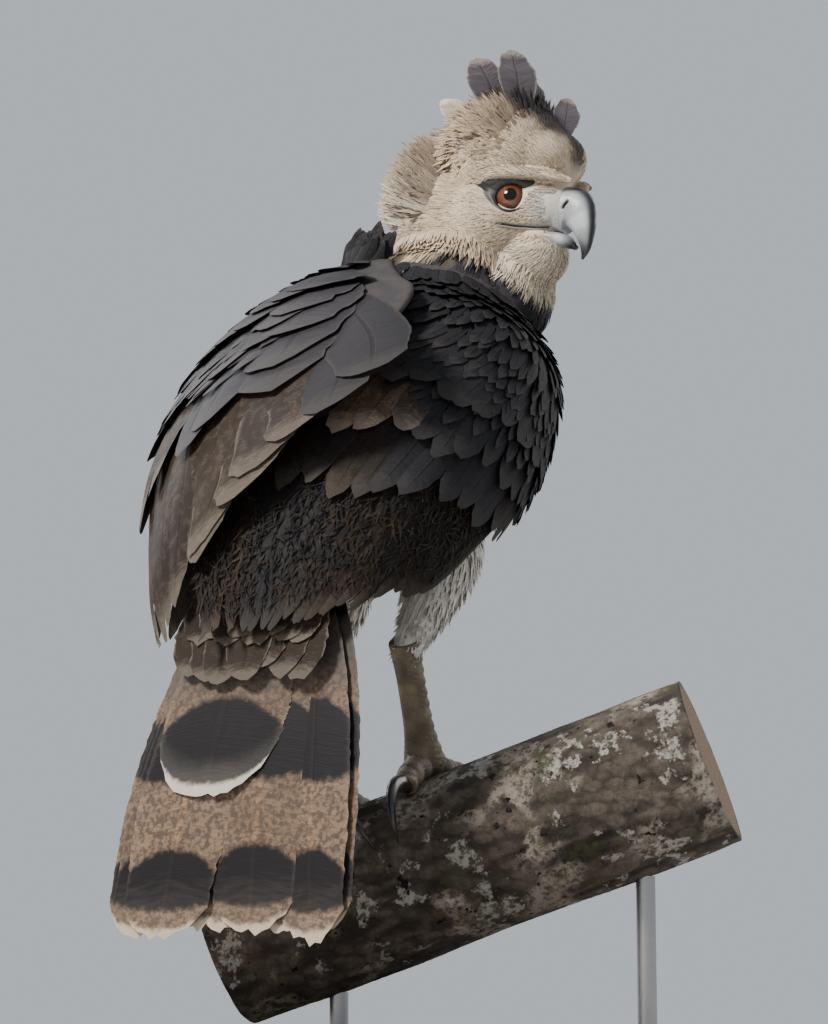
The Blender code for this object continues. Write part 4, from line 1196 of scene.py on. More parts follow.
LID_KEYS = np.array(  # the bare skin round an eye: forward and up from the pupil
    (
        (20, -1), (26, 3), (35, 7), (30, 13), (14, 18.5), (-9, 21), (-25, 18), (-41, 20.5),
        (-28, 9), (-21, -4.5), (-13, -12.5), (2, -17), (16, -11),
    ),
    float,
)
LID_ANGLES = np.degrees(np.arctan2(LID_KEYS[:, 1], LID_KEYS[:, 0])) % 360
LID_SORT = np.argsort(LID_ANGLES)
MOUTH_LINE = ((-4, -28), (8, -30), (20, -31), (40, -35), (54, -40))  # forward and up


def lid_reach(angle):
    """How far the bare skin reaches from the pupil, at an angle in degrees from forward over up."""
    reach = length_of(LID_KEYS)[LID_SORT]
    return np.interp(np.asarray(angle) % 360, LID_ANGLES[LID_SORT], reach, period=360)


def in_eye(spots, sign):
    """Forward, up and out of an eye, for points of the head."""
    local = (spots - EYE_PLACE * (1, sign, 1)) @ eye_axes(sign).T
    return local * (-sign, 1, 1)


def from_eye(local, sign):
    return (np.asarray(local) * (-sign, 1, 1)) @ eye_axes(sign) + EYE_PLACE * (1, sign, 1)


def head_surface(spots, lift=0.0):
    """The places on the head's surface straight out from its centre through the given places."""
    ways = unit(spots - HEAD_CENTRE)
    return HEAD_CENTRE + ways * (head_reach(ways) + lift)[..., None]


def bare_free(points, roots):
    """Whether points of the head are clear of both eyes' bare skin, of the mouth and of the bill."""
    spots = in_head(points)
    clear = (spots[..., 0] < 60) | (spots[..., 2] > 6)
    for sign in (1, -1):
        local = in_eye(spots, sign)
        angle = np.degrees(np.arctan2(local[..., 1], local[..., 0]))
        clear &= (length_of(local[..., :2]) > 0.94 * lid_reach(angle)) | (local[..., 2] < -6)
    gape = np.interp(spots[..., 0], *np.array(MOUTH_LINE, float).T)
    at_mouth = (abs(spots[..., 2] - gape) < 1.5) & (spots[..., 0] > -4)
    low_face = (spots[..., 0] > 42) & (spots[..., 2] < 0) & (spots[..., 2] > -48)
    return clear & ~low_face & ~at_mouth


print("eyes, lids and bill planned")

# %% [markdown]
# On the head the feathers grow from fine ones at the bill to long broad ones on the nape. They leave
# the eyes, the mouth and the bill free.

# %% Coat of the head
head_form = Form(head_grid(150, 180, 0.0, 0.06, 0.985), True, from_head(HEAD_CENTRE))


def head_patch(first, last, spacing, between, length, width, seen, **how):
    """Head feathers between two shares of the way from the bill to the nape."""
    roots = head_form.rows_of(spacing, between, bare_free, first, last)
    roots = roots[seen(in_head(head_form.read(*roots.T)[0]))]
    grow = smooth(first, last, roots[:, 0])
    sizes = (small + (large - small) * grow for small, large in (length, width))
    return coat_of(head_form, roots, head_markings, *sizes, **how)


def above_collar(spots):
    return spots[:, 2] > collar(spots[:, 0]) - 4


def on_throat(spots):
    return above_collar(spots) & (spots[:, 2] < -44) & (spots[:, 0] > -34)


def on_face(spots):
    return above_collar(spots) & ~on_throat(spots)


face = head_patch(0.0, 0.36, 2.5, 2.0, (7, 12), (1.0, 1.6), on_face,
                  rings=4, rise=0.8, sink=-1.6, blunt=0.5, wild=0.11)
cheek = head_patch(0.34, 0.62, 3.3, 2.8, (13, 24), (1.8, 3.4), on_face,
                   rings=5, rise=1.3, sink=-2.0, fray=0.25, wild=0.10)
throat = head_patch(0.0, 0.62, 2.8, 2.1, (13, 17), (1.2, 1.5), on_throat,
                    rings=5, rise=1.0, sink=-2.0, fray=0.15, blunt=0.5, wild=0.08)
breast = head_patch(0.0, 1.0, 7.0, 6.5, (30, 34), (6.5, 8), lambda p: ~above_collar(p),
                    rings=6, columns=5, rise=3.0, sink=-3.0, fray=0.12, blunt=0.55, wild=0.08)
neck_side = head_patch(0.58, 1.0, 4.0, 3.2, (22, 28), (2.2, 3.0), above_collar, rings=6, columns=3,
                       rise=3.0, sink=-3.0, fray=0.3, blunt=0.4, wild=0.10)


def on_neck(points, roots):
    return (points[:, 2] > 505) & (points[:, 2] < 560) & above_collar(in_head(points))


neck_roots = trunk_form.rows_of(4.0, 3.4, on_neck, 0.0, 0.3)
neck = coat_of(trunk_form, neck_roots, body_markings, 17, 2.0,
               rings=6, rise=2.5, sink=-3.0, fray=0.3, blunt=0.4)
coat_piece("coat_face", [face, cheek, throat], "pale_feathers")
coat_piece("coat_nape", [neck_side, breast, neck], "pale_feathers")
for side, sign in SIDES.items():
    form = Form(brow_grid(sign)[::-1], True)
    brow = coat_of(form, form.rows_of(2.4, 1.9), one_colour(CREAM, 0.0, 0.1), 11.0, 1.3,
                   rings=4, rise=0.9, sink=-1.5, blunt=0.5, wild=0.12)
    coat_piece(f"coat_brow_{side}", [brow], "pale_feathers")

# %% [markdown]
# The crest is drawn feather by feather: broad, rounded, dark vanes that stand up and lean back.

# %% Crest
CREST_DEPTH = 14.0  # millimetres that its quills go into the head
CREST = (  # root forward, left, up; lean back, lean out; half width, length; turn of the flat side
    (7, -19, 98, 4, 6, 21.0, 70, 0.6),
    (-20, -19, 98, 16, 12, 23.5, 72, 0.6),
    (-56, -18, 86, 34, 14, 19.0, 56, 0.6),
    (-8, 17, 98, 8, 4, 21.0, 66, 0.3),
    (-36, 17, 95, 22, 8, 22.0, 66, 0.3),
    (-60, 18, 84, 44, 14, 18.0, 50, 0.3),
    (28, 26, 79, -6, 10, 14.0, 48, 0.8),
)


def standing(root, way, face, length, half_width, bend=5.0, cup=4.0, rings=22, columns=9, fray=0.02,
             narrow=0.35, blunt=0.16):
    """Vanes that stand free: each leaves root along way with its upper face towards face.

    A point is root + way * length * t + across * w + face * (bend t^2 - cup w^2).
    """
    root, way, face = (np.atleast_2d(v).astype(float) for v in (root, way, face))
    count, way = len(root), unit(way)
    face = unit(face - (face * way).sum(-1, keepdims=True) * way)
    length, half_width, bend, cup = per_feather(count, length, half_width, bend, cup)
    t, w = vane_shape(count, rings, columns, narrow, blunt)
    notch = dice.normal(0, fray, t.shape)
    t, w = t + notch * smooth(0.6, 1, t) * 0.5, w * (1 + notch)
    points = root[:, None, None]
    steps = (length * t, half_width * w, bend * t**2 - cup * w**2)
    for axis, step in zip((way, np.cross(way, face), face), steps):
        points = points + axis[:, None, None] * step[..., None]
    return points, vane_values(t, w, length * MM)


x, y, z, lean_back, lean, half_width, length, flat = np.array(CREST, float).T
lean_back, lean = np.radians(lean_back), np.radians(lean)
ways = unit(np.column_stack((-np.sin(lean_back), np.copysign(np.sin(lean), y), np.cos(lean_back))))
facing = np.column_stack((-np.cos(lean_back), flat, -np.sin(lean_back)))
crest_roots = from_head(np.column_stack((x, y, z)) - CREST_DEPTH * ways)
big = standing(crest_roots, ways @ HEAD_AXES, facing @ HEAD_AXES, length, half_width)
pale = (x < -50)[:, None]
tint = np.where(pale, ASH * 1.9, BLACK + (0.062, 0.054, 0.060)) * dice.normal(1, 0.08, (7, 1))
marks = np.column_stack((np.full(7, 0.06), 0.75 + 0.2 * pale[:, 0], dice.random(7)))
cells = np.column_stack((np.linspace(0.08, 0.92, 7), np.full(7, 0.5)))
coat_piece("crest", [(big, tint, marks, cells)], "slate_feathers", patch=0.1)

# %% [markdown]
# The crown and the ruff are thousands of narrow, frayed feathers whose tips stand off the head.

# %% Crown and ruff
TUFT_DEPTH = 5.0


def tufts_on_head(rule, fringe, count, first, last, spread, length, half_width, lift, turn=0.0,
                  bend=-3.0):
    """Loose feathers that stand off the head: rooted between two shares of the way to the nape."""
    a = dice.uniform(first, last, count)
    b = np.mod(dice.uniform(-spread, spread, count), 1.0)
    roots, normals, down, across = head_form.read(a, b)
    lift = dice.normal(1, 0.15, (count, 1)) * lift
    lie = unit(unit(down) + normals * lift + UP * turn)
    lie = unit(lie + unit(across) * dice.normal(0, 0.16, (count, 1)))
    size = dice.uniform(0.78, 1.12, count)
    vanes = standing(roots - TUFT_DEPTH * normals, lie, normals, length * size, half_width * size, bend,
                     rings=8, columns=3, fray=0.14, cup=1.0, blunt=0.35, narrow=0.6)
    tints = rule(in_head(roots)) * dice.normal(1, 0.08, (count, 1))
    marks = np.column_stack((np.full(count, 0.1), np.full(count, fringe), dice.random(count)))
    return vanes, tints, marks, np.column_stack((a, b))


def crown_rule(spots):
    """Brown at the back of the crown, black round the crest's feet and down the midline."""
    wave = (hash_noise(spots, 0.12, 9) - 0.5) * 24
    dark = smooth(-40, -14, spots[:, 0] + wave) * smooth(34, 20, abs(spots[:, 1]) + wave * 0.3)
    tint = blend(BROWN * 1.9, BLACK * 2.0, dark * 0.9)
    return blend(tint, BUFF, smooth(24, 44, abs(spots[:, 1]) + wave * 0.4) * 0.8)


def ruff_rule(spots):
    """Brown above, pale ash towards the sides."""
    wave = (hash_noise(spots, 0.10, 10) - 0.5) * 30
    return blend(ASH * 1.7, BROWN * 2.2, smooth(-20, 40, spots[:, 2] + wave) * 0.85)


CROWN_TUFTS = (  # fringe; count, first and last share, spread, length, half width, lift
    (0.35, 2300, 0.24, 0.66, 0.13, 27, 2.4, 1.05),
    (0.25, 900, 0.20, 0.50, 0.17, 17, 2.0, 0.8),
)
RUFF_TUFTS = (  # the same, then how much they turn up and how they bend
    (0.3, 900, 0.58, 0.66, 0.12, 46, 2.7, 0.70, 0.90, -4.0),
    (0.3, 1300, 0.62, 0.70, 0.30, 42, 2.7, 0.65, 0.50, -5.0),
    (0.3, 1300, 0.70, 0.80, 0.32, 42, 2.9, 0.45, 0.40, -6.0),
    (0.3, 900, 0.79, 0.995, 0.5, 34, 3.0, 0.25, -0.75, -2.0),
)
crown = [tufts_on_head(crown_rule, *row) for row in CROWN_TUFTS]
ruff = [tufts_on_head(ruff_rule, *row) for row in RUFF_TUFTS]
coat_piece("coat_crown", crown, "pale_feathers")
coat_piece("coat_ruff", ruff, "pale_feathers")

# %% [markdown]
# Every wing feather is planted on the wing's own form, which reaches past the wing's plan on all
# sides so that no tip falls off it. A row of feathers is given by where its roots and tips lie.

# %% Forms and markings of the wings
WING_TIP = 1.08  # the last u of the form
WING_FIRST, WING_WIDE = -0.36, 1.42  # the first share of the form, and how many shares it covers
FADED_SPOT = (0.39, 0.29, 12.0)  # u, share and height of the bleached patch


def wing_form(side, height=lambda u, share: 0.0):
    """The surface that a wing's feathers lie on, at a height that is a rule on u and share."""
    u = np.linspace(0, WING_TIP, 95)[:, None]
    share = np.linspace(WING_FIRST, WING_FIRST + WING_WIDE, 110)
    return Form(on_wing(side, u, share, height(u, share)), False, trunk_grid.reshape(-1, 3).mean(0))


def wing_roots(u, share):
    """Places on a wing's form, as the form's own shares."""
    return np.column_stack((u / WING_TIP, (share - WING_FIRST) / WING_WIDE))


def wing_markings(side):
    """Slate above and flecked brown below on the left wing. On the right wing the same slate and
    brown are painted near black and dim, as painted shade, with one bleached patch.
    """
    faded = on_wing("right", *FADED_SPOT)

    def rule(points):
        wave = hash_noise(points, 0.018, 8)
        if side == "left":
            brownish = smooth(0.50, 0.85, wave * 0.6 + 0.6 * smooth(415, 365, points[:, 2]))
            tint = blend(SLATE * 0.8, BROWN * 0.22, brownish)
            return tint, 0.05 + 0.60 * brownish, 0.08 + 0.26 * brownish
        # painted shade: the right wing lies in shadow, so its slate is painted near black and its brown
        # dim
        brownish = smooth(0.45, 0.75, wave * 0.7 + 0.4 * smooth(400, 240, points[:, 2]))
        tint = blend(BLACK, BROWN * 0.12, brownish)
        away = length_of((points - faded) * (1.0, 1.0, 0.55))
        bleached = smooth(42, 14, away + 22 * (wave - 0.5))
        tint = blend(tint, BROWN * 0.9, bleached)
        fringe = 0.07 + 0.04 * brownish + 0.7 * bleached
        return tint, 0.03 + 0.12 * brownish + 0.8 * bleached, fringe

    return rule


def between_keys(keys, count):
    """Count places along a table of (u, share) keys, as shares of the wing's form."""
    steps = np.linspace(0, 1, len(keys))
    columns = np.array(keys, float).T
    return wing_roots(*(np.interp(np.linspace(0, 1, count), steps, column) for column in columns))


def tier(side, form, count, width, roots, tips, rise, stack, **how):
    """One row of a wing: count vanes from the trailing to the leading edge, from roots to tips.

    A vane's course and length are those of the straight line on the form from its root to its tip.
    """
    spots, ends = between_keys(roots, count), between_keys(tips, count)
    spots[:, 0] += dice.normal(0, 0.006, count)
    ends += dice.normal(0, 0.008, (count, 2))
    points, _, down, across = form.read(*spots.T)
    ahead, aside = (ends - spots).T * (length_of(down), length_of(across))
    pile = rise + stack * (count - 1 - np.arange(count))
    course = np.arctan2(aside, ahead)
    planted = plant(form, spots, np.hypot(ahead, aside), width, course, rise=pile, **how)
    middles = points * 0.5 + form.read(*ends.T)[0] * 0.5
    return planted, *marks_of(middles, wing_markings(side))


print("wing forms ready")

# %% [markdown]
# The long flight feathers come first, then rows of coverts that get shorter towards the shoulder,
# each row over the one behind it. Small round feathers cover the shoulder itself.

# %% Feathers of the wings
WING_PLAN = {  # for each tier of a wing: count, half width, roots and tips as (u, share)
    "left": (
        (14, 29.0, ((0.24, 0.16), (0.33, 0.16), (0.42, 0.22), (0.46, 0.38), (0.46, 0.60), (0.42, 0.86)),
         ((0.54, -0.10), (0.66, -0.13), (0.78, -0.17), (0.90, -0.24), (0.99, -0.12), (1.0, 0.25),
          (0.90, 0.78))),
        (11, 27.0, ((0.10, 0.20), (0.24, 0.28), (0.30, 0.42), (0.30, 0.66), (0.26, 0.92)),
         ((0.43, 0.10), (0.56, 0.01), (0.67, 0.08), (0.72, 0.36), (0.68, 0.62), (0.55, 0.90))),
        (11, 26.0, ((0.06, 0.20), (0.16, 0.32), (0.20, 0.50), (0.20, 0.76), (0.18, 0.95)),
         ((0.35, 0.15), (0.47, 0.13), (0.55, 0.33), (0.55, 0.60), (0.44, 0.92))),
        (12, 25.0, ((0.00, 0.20), (0.08, 0.36), (0.12, 0.62), (0.12, 0.96)),
         ((0.29, 0.17), (0.39, 0.28), (0.43, 0.54), (0.36, 0.94))),
    ),
    "right": (
        (17, 21.0, ((0.44, 0.0), (0.40, 0.88)),
         ((1.03, 0.0), (1.01, 0.22), (0.96, 0.44), (0.88, 0.66), (0.76, 0.88))),
        (15, 19.0, ((0.34, 0.0), (0.28, 0.93)), ((0.72, 0.0), (0.67, 0.46), (0.53, 0.93))),
        (16, 18.0, ((0.26, 0.0), (0.22, 0.95)), ((0.60, 0.0), (0.56, 0.48), (0.44, 0.95))),
        (17, 18.0, ((0.17, 0.0), (0.15, 0.96)), ((0.48, 0.0), (0.45, 0.48), (0.36, 0.96))),
    ),
}
TIERS = (  # rise of the row and of each feather in it, and how its vanes are drawn
    (2.0, 1.1, dict(rings=30, columns=9, blunt=0.10, camber=0.10, fray=0.02)),
    (7.0, 0.6, dict(rings=20, columns=7, blunt=0.12, camber=0.12, fray=0.03)),
    (9.0, 0.45, dict(rings=16, columns=7, blunt=0.14, camber=0.12, fray=0.04)),
    (11.0, 0.35, dict(rings=14, columns=7, blunt=0.16, camber=0.12, fray=0.04)),
)
LESSER = {  # shoulder feathers: first share, count in a row, scale, rows, bluntness
    "left": (0.12, 15, 1.4, 10, 0.2),
    "right": (0.0, 24, 1.0, 12, 0.42),
}
for side in SIDES:
    form = wing_form(side)
    parts = []
    for k, (plan, (rise, stack, how)) in enumerate(zip(WING_PLAN[side], TIERS)):
        cells = np.linspace((0.03, 0.06 + 0.12 * k), (0.97, 0.06 + 0.12 * k), plan[0])
        parts.append((*tier(side, form, *plan, rise, stack, sink=-4.0, narrow=0.5, **how), cells))
    coat_piece(f"wing_feathers_{side}", parts, "slate_feathers", f"wing_{side}", patch=0.03)
    rows = []
    first, count, big, steps, blunt = LESSER[side]
    for k, u in enumerate(np.linspace(0.0, 0.30, steps)):
        places = (np.arange(count) + 0.5 * (k % 2) + dice.normal(0, 0.15, count)) / count
        roots = wing_roots(u + dice.normal(0, 0.006, count), first + places * (0.97 - first))
        sizes = ((36 + 46 * u / 0.3) * big, (10 + 4 * u / 0.3) * big, 7.0 + 14 * u)
        rows.append(np.column_stack((roots, np.tile(sizes, (count, 1)))))
    rows = np.vstack(rows)
    length, half_width, rise = rows[:, 2:].T
    lesser = coat_of(form, rows[:, :2], wing_markings(side), length, half_width, rings=9, columns=5,
                     narrow=0.5, rise=rise + dice.random(len(rows)) * 1.5, sink=-3.0, blunt=blunt,
                     fray=0.05, wild=0.05)
    coat_piece(f"coat_shoulder_{side}", [lesser], "slate_feathers")

# %% [markdown]
# The right wing is folded, and loose brown and black barbs lie over its flight feathers. They are
# planted on a form that follows the top of the stack and are left out where the tips end.

# %% Loose barbs over the folded flight feathers


def flight_top(u, share):
    """How high the stack of right flight feathers stands: it climbs towards their tips."""
    pile = 2.0 + 17.6 * (1 - np.clip(share, 0, 0.88) / 0.88)
    return pile * np.clip((u - 0.42) / 0.58, 0, 1)


def barb_markings(points):
    """Brown and black by turns."""
    brown = smooth(0.35, 0.7, hash_noise(points, 0.16, 14))
    return blend(BLACK * 0.85, BROWN * 0.34, brown), 0.1 + 0 * brown, 0.1 + 0.2 * brown


def on_flights(points, roots):
    u, share = roots[:, 0] * WING_TIP, roots[:, 1] * WING_WIDE + WING_FIRST
    return (u > 0.5) & (u < 0.955 - 0.34 * share**2) & (share > -0.04) & (share < 0.86)


form = wing_form("right", flight_top)
roots = form.rows_of(5.6, 5.2, on_flights)
barbs = coat_of(form, roots, barb_markings, 18.0, 1.1, rings=6, narrow=0.4,
                rise=3.5 + dice.random(len(roots)) * 2.0, sink=-2.0, blunt=0.5, fray=0.2, wild=0.55)
coat_piece("coat_barbs_right", [barbs], "slate_feathers")

# %% [markdown]
# The turned head pushes a bunch of black feathers up between the left wing and the neck.

# %% Feathers pushed up between the left wing and the neck
count = 26
share = dice.uniform(0.07, 0.2, count)
pushed_roots = on_wing("left", dice.uniform(0.0, 0.05, count), share, -5.0)
toward_neck = np.array((-0.87, -0.5, 0.0))
pushed_way = UP + toward_neck * (0.85 - 2.5 * share[:, None]) + dice.normal(0, 0.07, (count, 3))
pushed = standing(pushed_roots, pushed_way, (-0.35, 0.93, 0.1), dice.uniform(26, 44, count), 10.0,
                  rings=12, columns=7, fray=0.03, blunt=0.4, narrow=0.6)
tint, marks = marks_of(pushed_roots, one_colour(BLACK, 0.05, 0.1))
cells = np.column_stack((share * 2 + 0.3, dice.random(count)))
coat_piece("coat_shoulder_tuft", [(pushed, tint, marks, cells)], "slate_feathers")

# %% [markdown]
# Tail feathers are marbled brown with black bands and a pale tip. Bands follow each feather's own
# length, so they step as its edges do. One feather still grows: its only band is near its end.

# %% Finishes of the tail
BANDS = ((-0.1, 0.14), (0.38, 0.60), (0.77, 0.93))  # where a band starts and ends along a feather
TAIL_BROWN, TAIL_BLACK = (0.145, 0.098, 0.068), (0.010, 0.009, 0.011)


def marbled(f, colour, place, rootward_grey_and_shade):
    """A brown ground, marbled and specked with darker browns, and greyer and darker towards the roots:
    partly their own grey, partly painted shade.
    """
    wave = f.noise(place, 210.0, 4.0, 0.65)
    specks = f.noise(place, 420.0, 3.0, 0.7)
    ground = f.mixed(wave.between(0.43, 0.58) * 0.80, colour, (0.050, 0.038, 0.032))
    ground = f.mixed(specks.between(0.55, 0.7) * 0.5, ground, (0.10, 0.08, 0.065))
    # greyer and darker towards the roots: partly the feathers' own grey, partly painted shade
    return f.mixed(rootward_grey_and_shade * 0.85, ground, (0.040, 0.036, 0.035))


def tail_bands(f, colour, across, share, length, chance, place):
    """Black bands, arched at both edges, over the marbled ground, and a pale tip."""
    ragged = share + (f.noise(place, 120.0, 3.0) - 0.5) * 0.035
    arch = across * across * 0.06
    ground = marbled(f, colour, place, ragged.between(0.46, 0.24))
    for start, stop in BANDS:
        early, late = ragged - arch, ragged + arch * 0.25
        band = early.between(start - 0.012, start + 0.012) * late.between(stop + 0.012, stop - 0.012)
        ground = f.mixed(band, ground, TAIL_BLACK)
    tip = (ragged * (across * across * 0.04 + 1.0)).between(0.968, 0.988)
    return f.mixed(tip, ground, (0.38, 0.31, 0.24))


def pale_rim(f, colour, across, share, length, chance, place):
    """Black from an arch half way on, then a smoky end and a pale, rounded rim."""
    ragged = (f.noise(place, 150.0, 3.0) - 0.5) * 0.04
    reach = share * (across.size().math("POWER", 3.0) * 0.2 + 1.0) + ragged
    arch = share - across * across * 0.15 + ragged
    ground = marbled(f, colour, place, share.between(0.68, 0.27))
    black = f.mixed(arch.between(0.52, 0.56), ground, TAIL_BLACK)
    smoky = f.mixed(reach.between(0.80, 0.92) * 0.6, black, (0.048, 0.045, 0.045))
    return f.mixed(reach.between(0.93, 0.965), smoky, (0.40, 0.37, 0.32))


growing_feather = feather_finish("growing_feather", (1.2, 1.2, 1.15), 0.62, 0.0004, pale_rim)
banded_feather = feather_finish("banded_feather", (1.5, 1.35, 1.15), 0.6, 0.0004, tail_bands)


print("tail finishes ready")

# %% [markdown]
# The plan of the tail gives each feather's root, tip and height in the stack. Eleven broad feathers
# overlap like a hand of cards, and the growing one lies on top of them.

# %% Plan of the tail
TAIL_LENGTH, LINE_LENGTH = 350.0, 345.0
TAIL_FEATHERS = (  # tip and root aside, height in the stack, share of the line at the tip, half width
    (100, 46, 0.0, 0.93, 33.0),
    (98, 38, 2.6, 0.945, 33.0),
    (92, 31, 5.2, 0.955, 33.0),
    (72, 22, 7.8, 0.95, 33.0),
    (24, 8, 5.2, 0.94, 33.0),
    (-6, -4, 5.2, 0.945, 33.0),
    (-74, -24, 5.2, 0.955, 33.0),
    (-114, -46, 2.6, 0.95, 33.0),
    (-104, -32, 8.6, 0.975, 38.0),
    (-41, -8, 11.2, 0.955, 49.0),
    (56, 12, 13.8, 0.965, 53.0),
    (32, 2, 18.0, 0.625, 66.0),
)
TAIL_COVERTS = (  # share of the line, count, reach across, length, half width, height
    (0.0, 7, 44, 60, 22, 36),
    (0.02, 8, 50, 80, 23, 33),
    (0.05, 7, 52, 100, 25, 30),
)
UNDER_COVERTS = ((-0.02, 9, 42, 70, 15, 15), (0.03, 9, 40, 90, 15, 11), (0.08, 8, 36, 110, 16, 7))


def tail_frame(s):
    """The middle line of the tail at s, and the way out from its upper face."""
    row, after, before = (spline(TAIL_LINE, np.clip(s + step, 0, 1)) for step in (0, 0.01, -0.01))
    out = np.cross(unit(after - before), X_AXIS)
    return row, unit(np.where(out[..., 1:2] > 0, out, -out))


def tail_vane(root, tip, top, start, stop, half_width, rings=44, columns=11, fray=0.015, blunt=0.08,
              narrow=0.4, taper=0.14, corner=2.4):
    """One tail feather: its middle swings aside from root to tip as s to the power 0.65.

    A point is row(s) + aside along x + (top - 4 (w * half width / 50 mm)^2) along the way out.
    """
    t, w = vane_shape(1, rings, columns, narrow, blunt, taper, corner)
    notch = dice.normal(0, fray, t.shape)
    t, w = t + notch * smooth(0.9, 1, t) * 0.4, w * (1 + notch)
    s = start + (stop - start) * t
    row, out = tail_frame(s)
    aside = root + (tip - root) * s**0.65 + w * half_width
    points = row + X_AXIS * aside[..., None] + out * (top - 4.0 * (w * half_width / 50) ** 2)[..., None]
    return points, vane_values(t, w, (stop - start) * TAIL_LENGTH * MM)


print("tail planned with", len(TAIL_FEATHERS), "feathers")

# %% [markdown]
# All feathers of the tail follow its middle line and swing aside from root to tip. Rows of rounded
# coverts hide their roots, above and below.

# %% Tail
tail_parts = []
for k, (tip, root, top, stop, half_width) in enumerate(TAIL_FEATHERS[:-1]):
    planted = tail_vane(root, tip, top, 0.03, stop, half_width, 60, 13)
    tint = np.array([TAIL_BROWN]) * dice.normal(1.0, 0.07)
    cell = np.array([((k + 0.5) / 11, 0.5)])
    tail_parts.append((planted, tint, np.array([(0.0, 0.10, dice.random())]), cell))
coat_piece("tail_feathers", tail_parts, "banded_feathers", "tail", patch=0.08, finish=banded_feather)
tip, root, top, stop, half_width = TAIL_FEATHERS[-1]
growing = tail_vane(root, tip, top, 0.1, stop, half_width, 60, 21, 0.012, 0.24, 0.5, 0.02, 3.0)
one = (growing, np.array([TAIL_BROWN]), np.array([(0.05, 0.1, 0.3)]), np.array([(0.5, 0.5)]))
coat_piece("tail_growing", [one], "banded_feathers", patch=0.4, finish=growing_feather)


def covert_rows(outward, rows):
    """Rows of rounded coverts over the tail's root, above it or, where outward is -1, below."""
    made = []
    for s, count, reach, length, half_width, top in rows:
        for aside in np.linspace(-reach, reach, count) + dice.normal(0, 1.5, count):
            stop = s + length / LINE_LENGTH * dice.uniform(0.9, 1.1)
            height = outward * (top - 0.10 * abs(aside))
            start = max(s, 0.0)  # the tail's line starts at 0
            made.append(tail_vane(aside, aside * 1.25, height, start, stop, half_width, 14, 7, 0.04, 0.2))
    return made


def covert_piece(name, made, tint, marks, slot):
    parts = []
    for planted in made:
        cell = dice.random((1, 2)) * 0.96 + 0.02
        own = tint[None] * dice.normal(1, 0.12)
        parts.append((planted, own, np.array([(*marks, dice.random())]), cell))
    coat_piece(name, parts, slot, patch=0.03)


upper = covert_rows(1.0, TAIL_COVERTS)
under = covert_rows(-1.0, UNDER_COVERTS)
covert_piece("coat_tail_upper", upper, BROWN * 0.22, (0.22, 0.35), "banded_feathers")
covert_piece("coat_tail_under", under, WHITE * 0.8, (0.35, 0.1), "white_feathers")

# %% [markdown]
# An eagle's bill is a hooked loft, deeper than it is wide, with a slit for each nostril. Its horn is
# pale slate at the base and black along the ridge and at the tip, so its tint follows those places.
# A painted highlight lies on each side, and painted shade darkens each nostril.

# %% Bill
NOSTRIL, NOSTRIL_SLANT = np.array((57.0, 12.5, -13.5)), math.radians(48.0)


def bill_grid(keys, rings, around, power):
    rows = [(x, 0, z, w, above, below) for x, z, w, above, below in keys]
    return loft_grid(rows, rings, around, np.array((0, 1.0, 0)), power, 0.85)


def horn_tint(spots, t, c):
    """Slate horn that darkens towards the tip and the ridge, paler in a patch before the nostril: a
    painted highlight.
    """
    grey = np.array((0.27, 0.285, 0.30))
    # painted highlight: the pale patch on each side of the bill
    pale = smooth(0.25, 0.4, t) * smooth(0.6, 0.45, t) * smooth(0.9, 0.3, abs(c))
    tint = blend(grey, grey * 1.5, pale)
    tint = blend(tint, BLACK * 0.8, smooth(0.45, 0.95, t + 0.1 * hash_noise(spots, 0.15, 3)))
    return blend(tint, BLACK, smooth(0.55, 0.95, c) * smooth(0.02, 0.2, t))


def bill_piece(name, keys, power, rings, around, node, upper):
    """A half of the bill. The nostril is a dent: its depth falls off over a slanted oval."""
    spots = bill_grid(keys, rings, around, power)
    t = np.repeat(np.linspace(0, 1, rings)[:, None], around, 1)
    c = np.repeat(np.cos(turns(around))[None], rings, 0)
    if not upper:
        c = -abs(c)
    away = spots - NOSTRIL * np.where(spots[..., 1:2] > 0, (1, 1, 1), (1, -1, 1))
    slant, slope = math.cos(NOSTRIL_SLANT), math.sin(NOSTRIL_SLANT)
    dx = away[..., 0] * slant + away[..., 2] * slope
    dz = -away[..., 0] * slope + away[..., 2] * slant
    hole = upper * np.exp(-((dx / 4.6) ** 4) - (dz / 1.6) ** 4)
    rim = upper * np.exp(-((dx / 6.5) ** 2) - (dz / 3.4) ** 2)
    cere = upper * 0.7 * smooth(0.36, 0.30, t)
    out = unit(spots - spots.mean(axis=1, keepdims=True))
    spots = spots + out * (0.8 * rim - 3.2 * hole + cere)[..., None]
    # painted shade: the nostril's dent is darkened towards black
    tint = blend(horn_tint(spots, t, c), BLACK * 0.3, smooth(0.1, 0.5, hole))
    tints = np.vstack((tint.reshape(-1, 3), tint[0].mean(0), tint[-1].mean(0)))
    closed_piece(name, capped(from_head(spots)), horn.material, "grey_horn", node, tint=tints)


horn = Finish("bill_horn", Specular_IOR_Level=0.5)
place = horn.place()
lines = horn.noise(horn.stretched(place, (1.0, 1.0, 3.0)), 240.0, 4.0)
clouds = horn.noise(place, 60.0, 3.0)
horn_shade = clouds * 0.35 + lines * 0.2 + 0.74
horn.give(Base_Color=horn.shaded(horn.stored("tint", 0), horn_shade), Roughness=lines * 0.25 + 0.2)
horn.relief(lines, 0.00025)
bill_piece("bill_upper_horn", BILL_UPPER, 2.2, 200, 160, "bill_upper", True)
bill_piece("bill_lower_horn", BILL_LOWER, 2.0, 60, 60, "bill_lower", False)

# %% [markdown]
# Short pale bristles cover the base of the bill. The mouth is a near-black line, painted shade in
# its crease, between two thin lips.

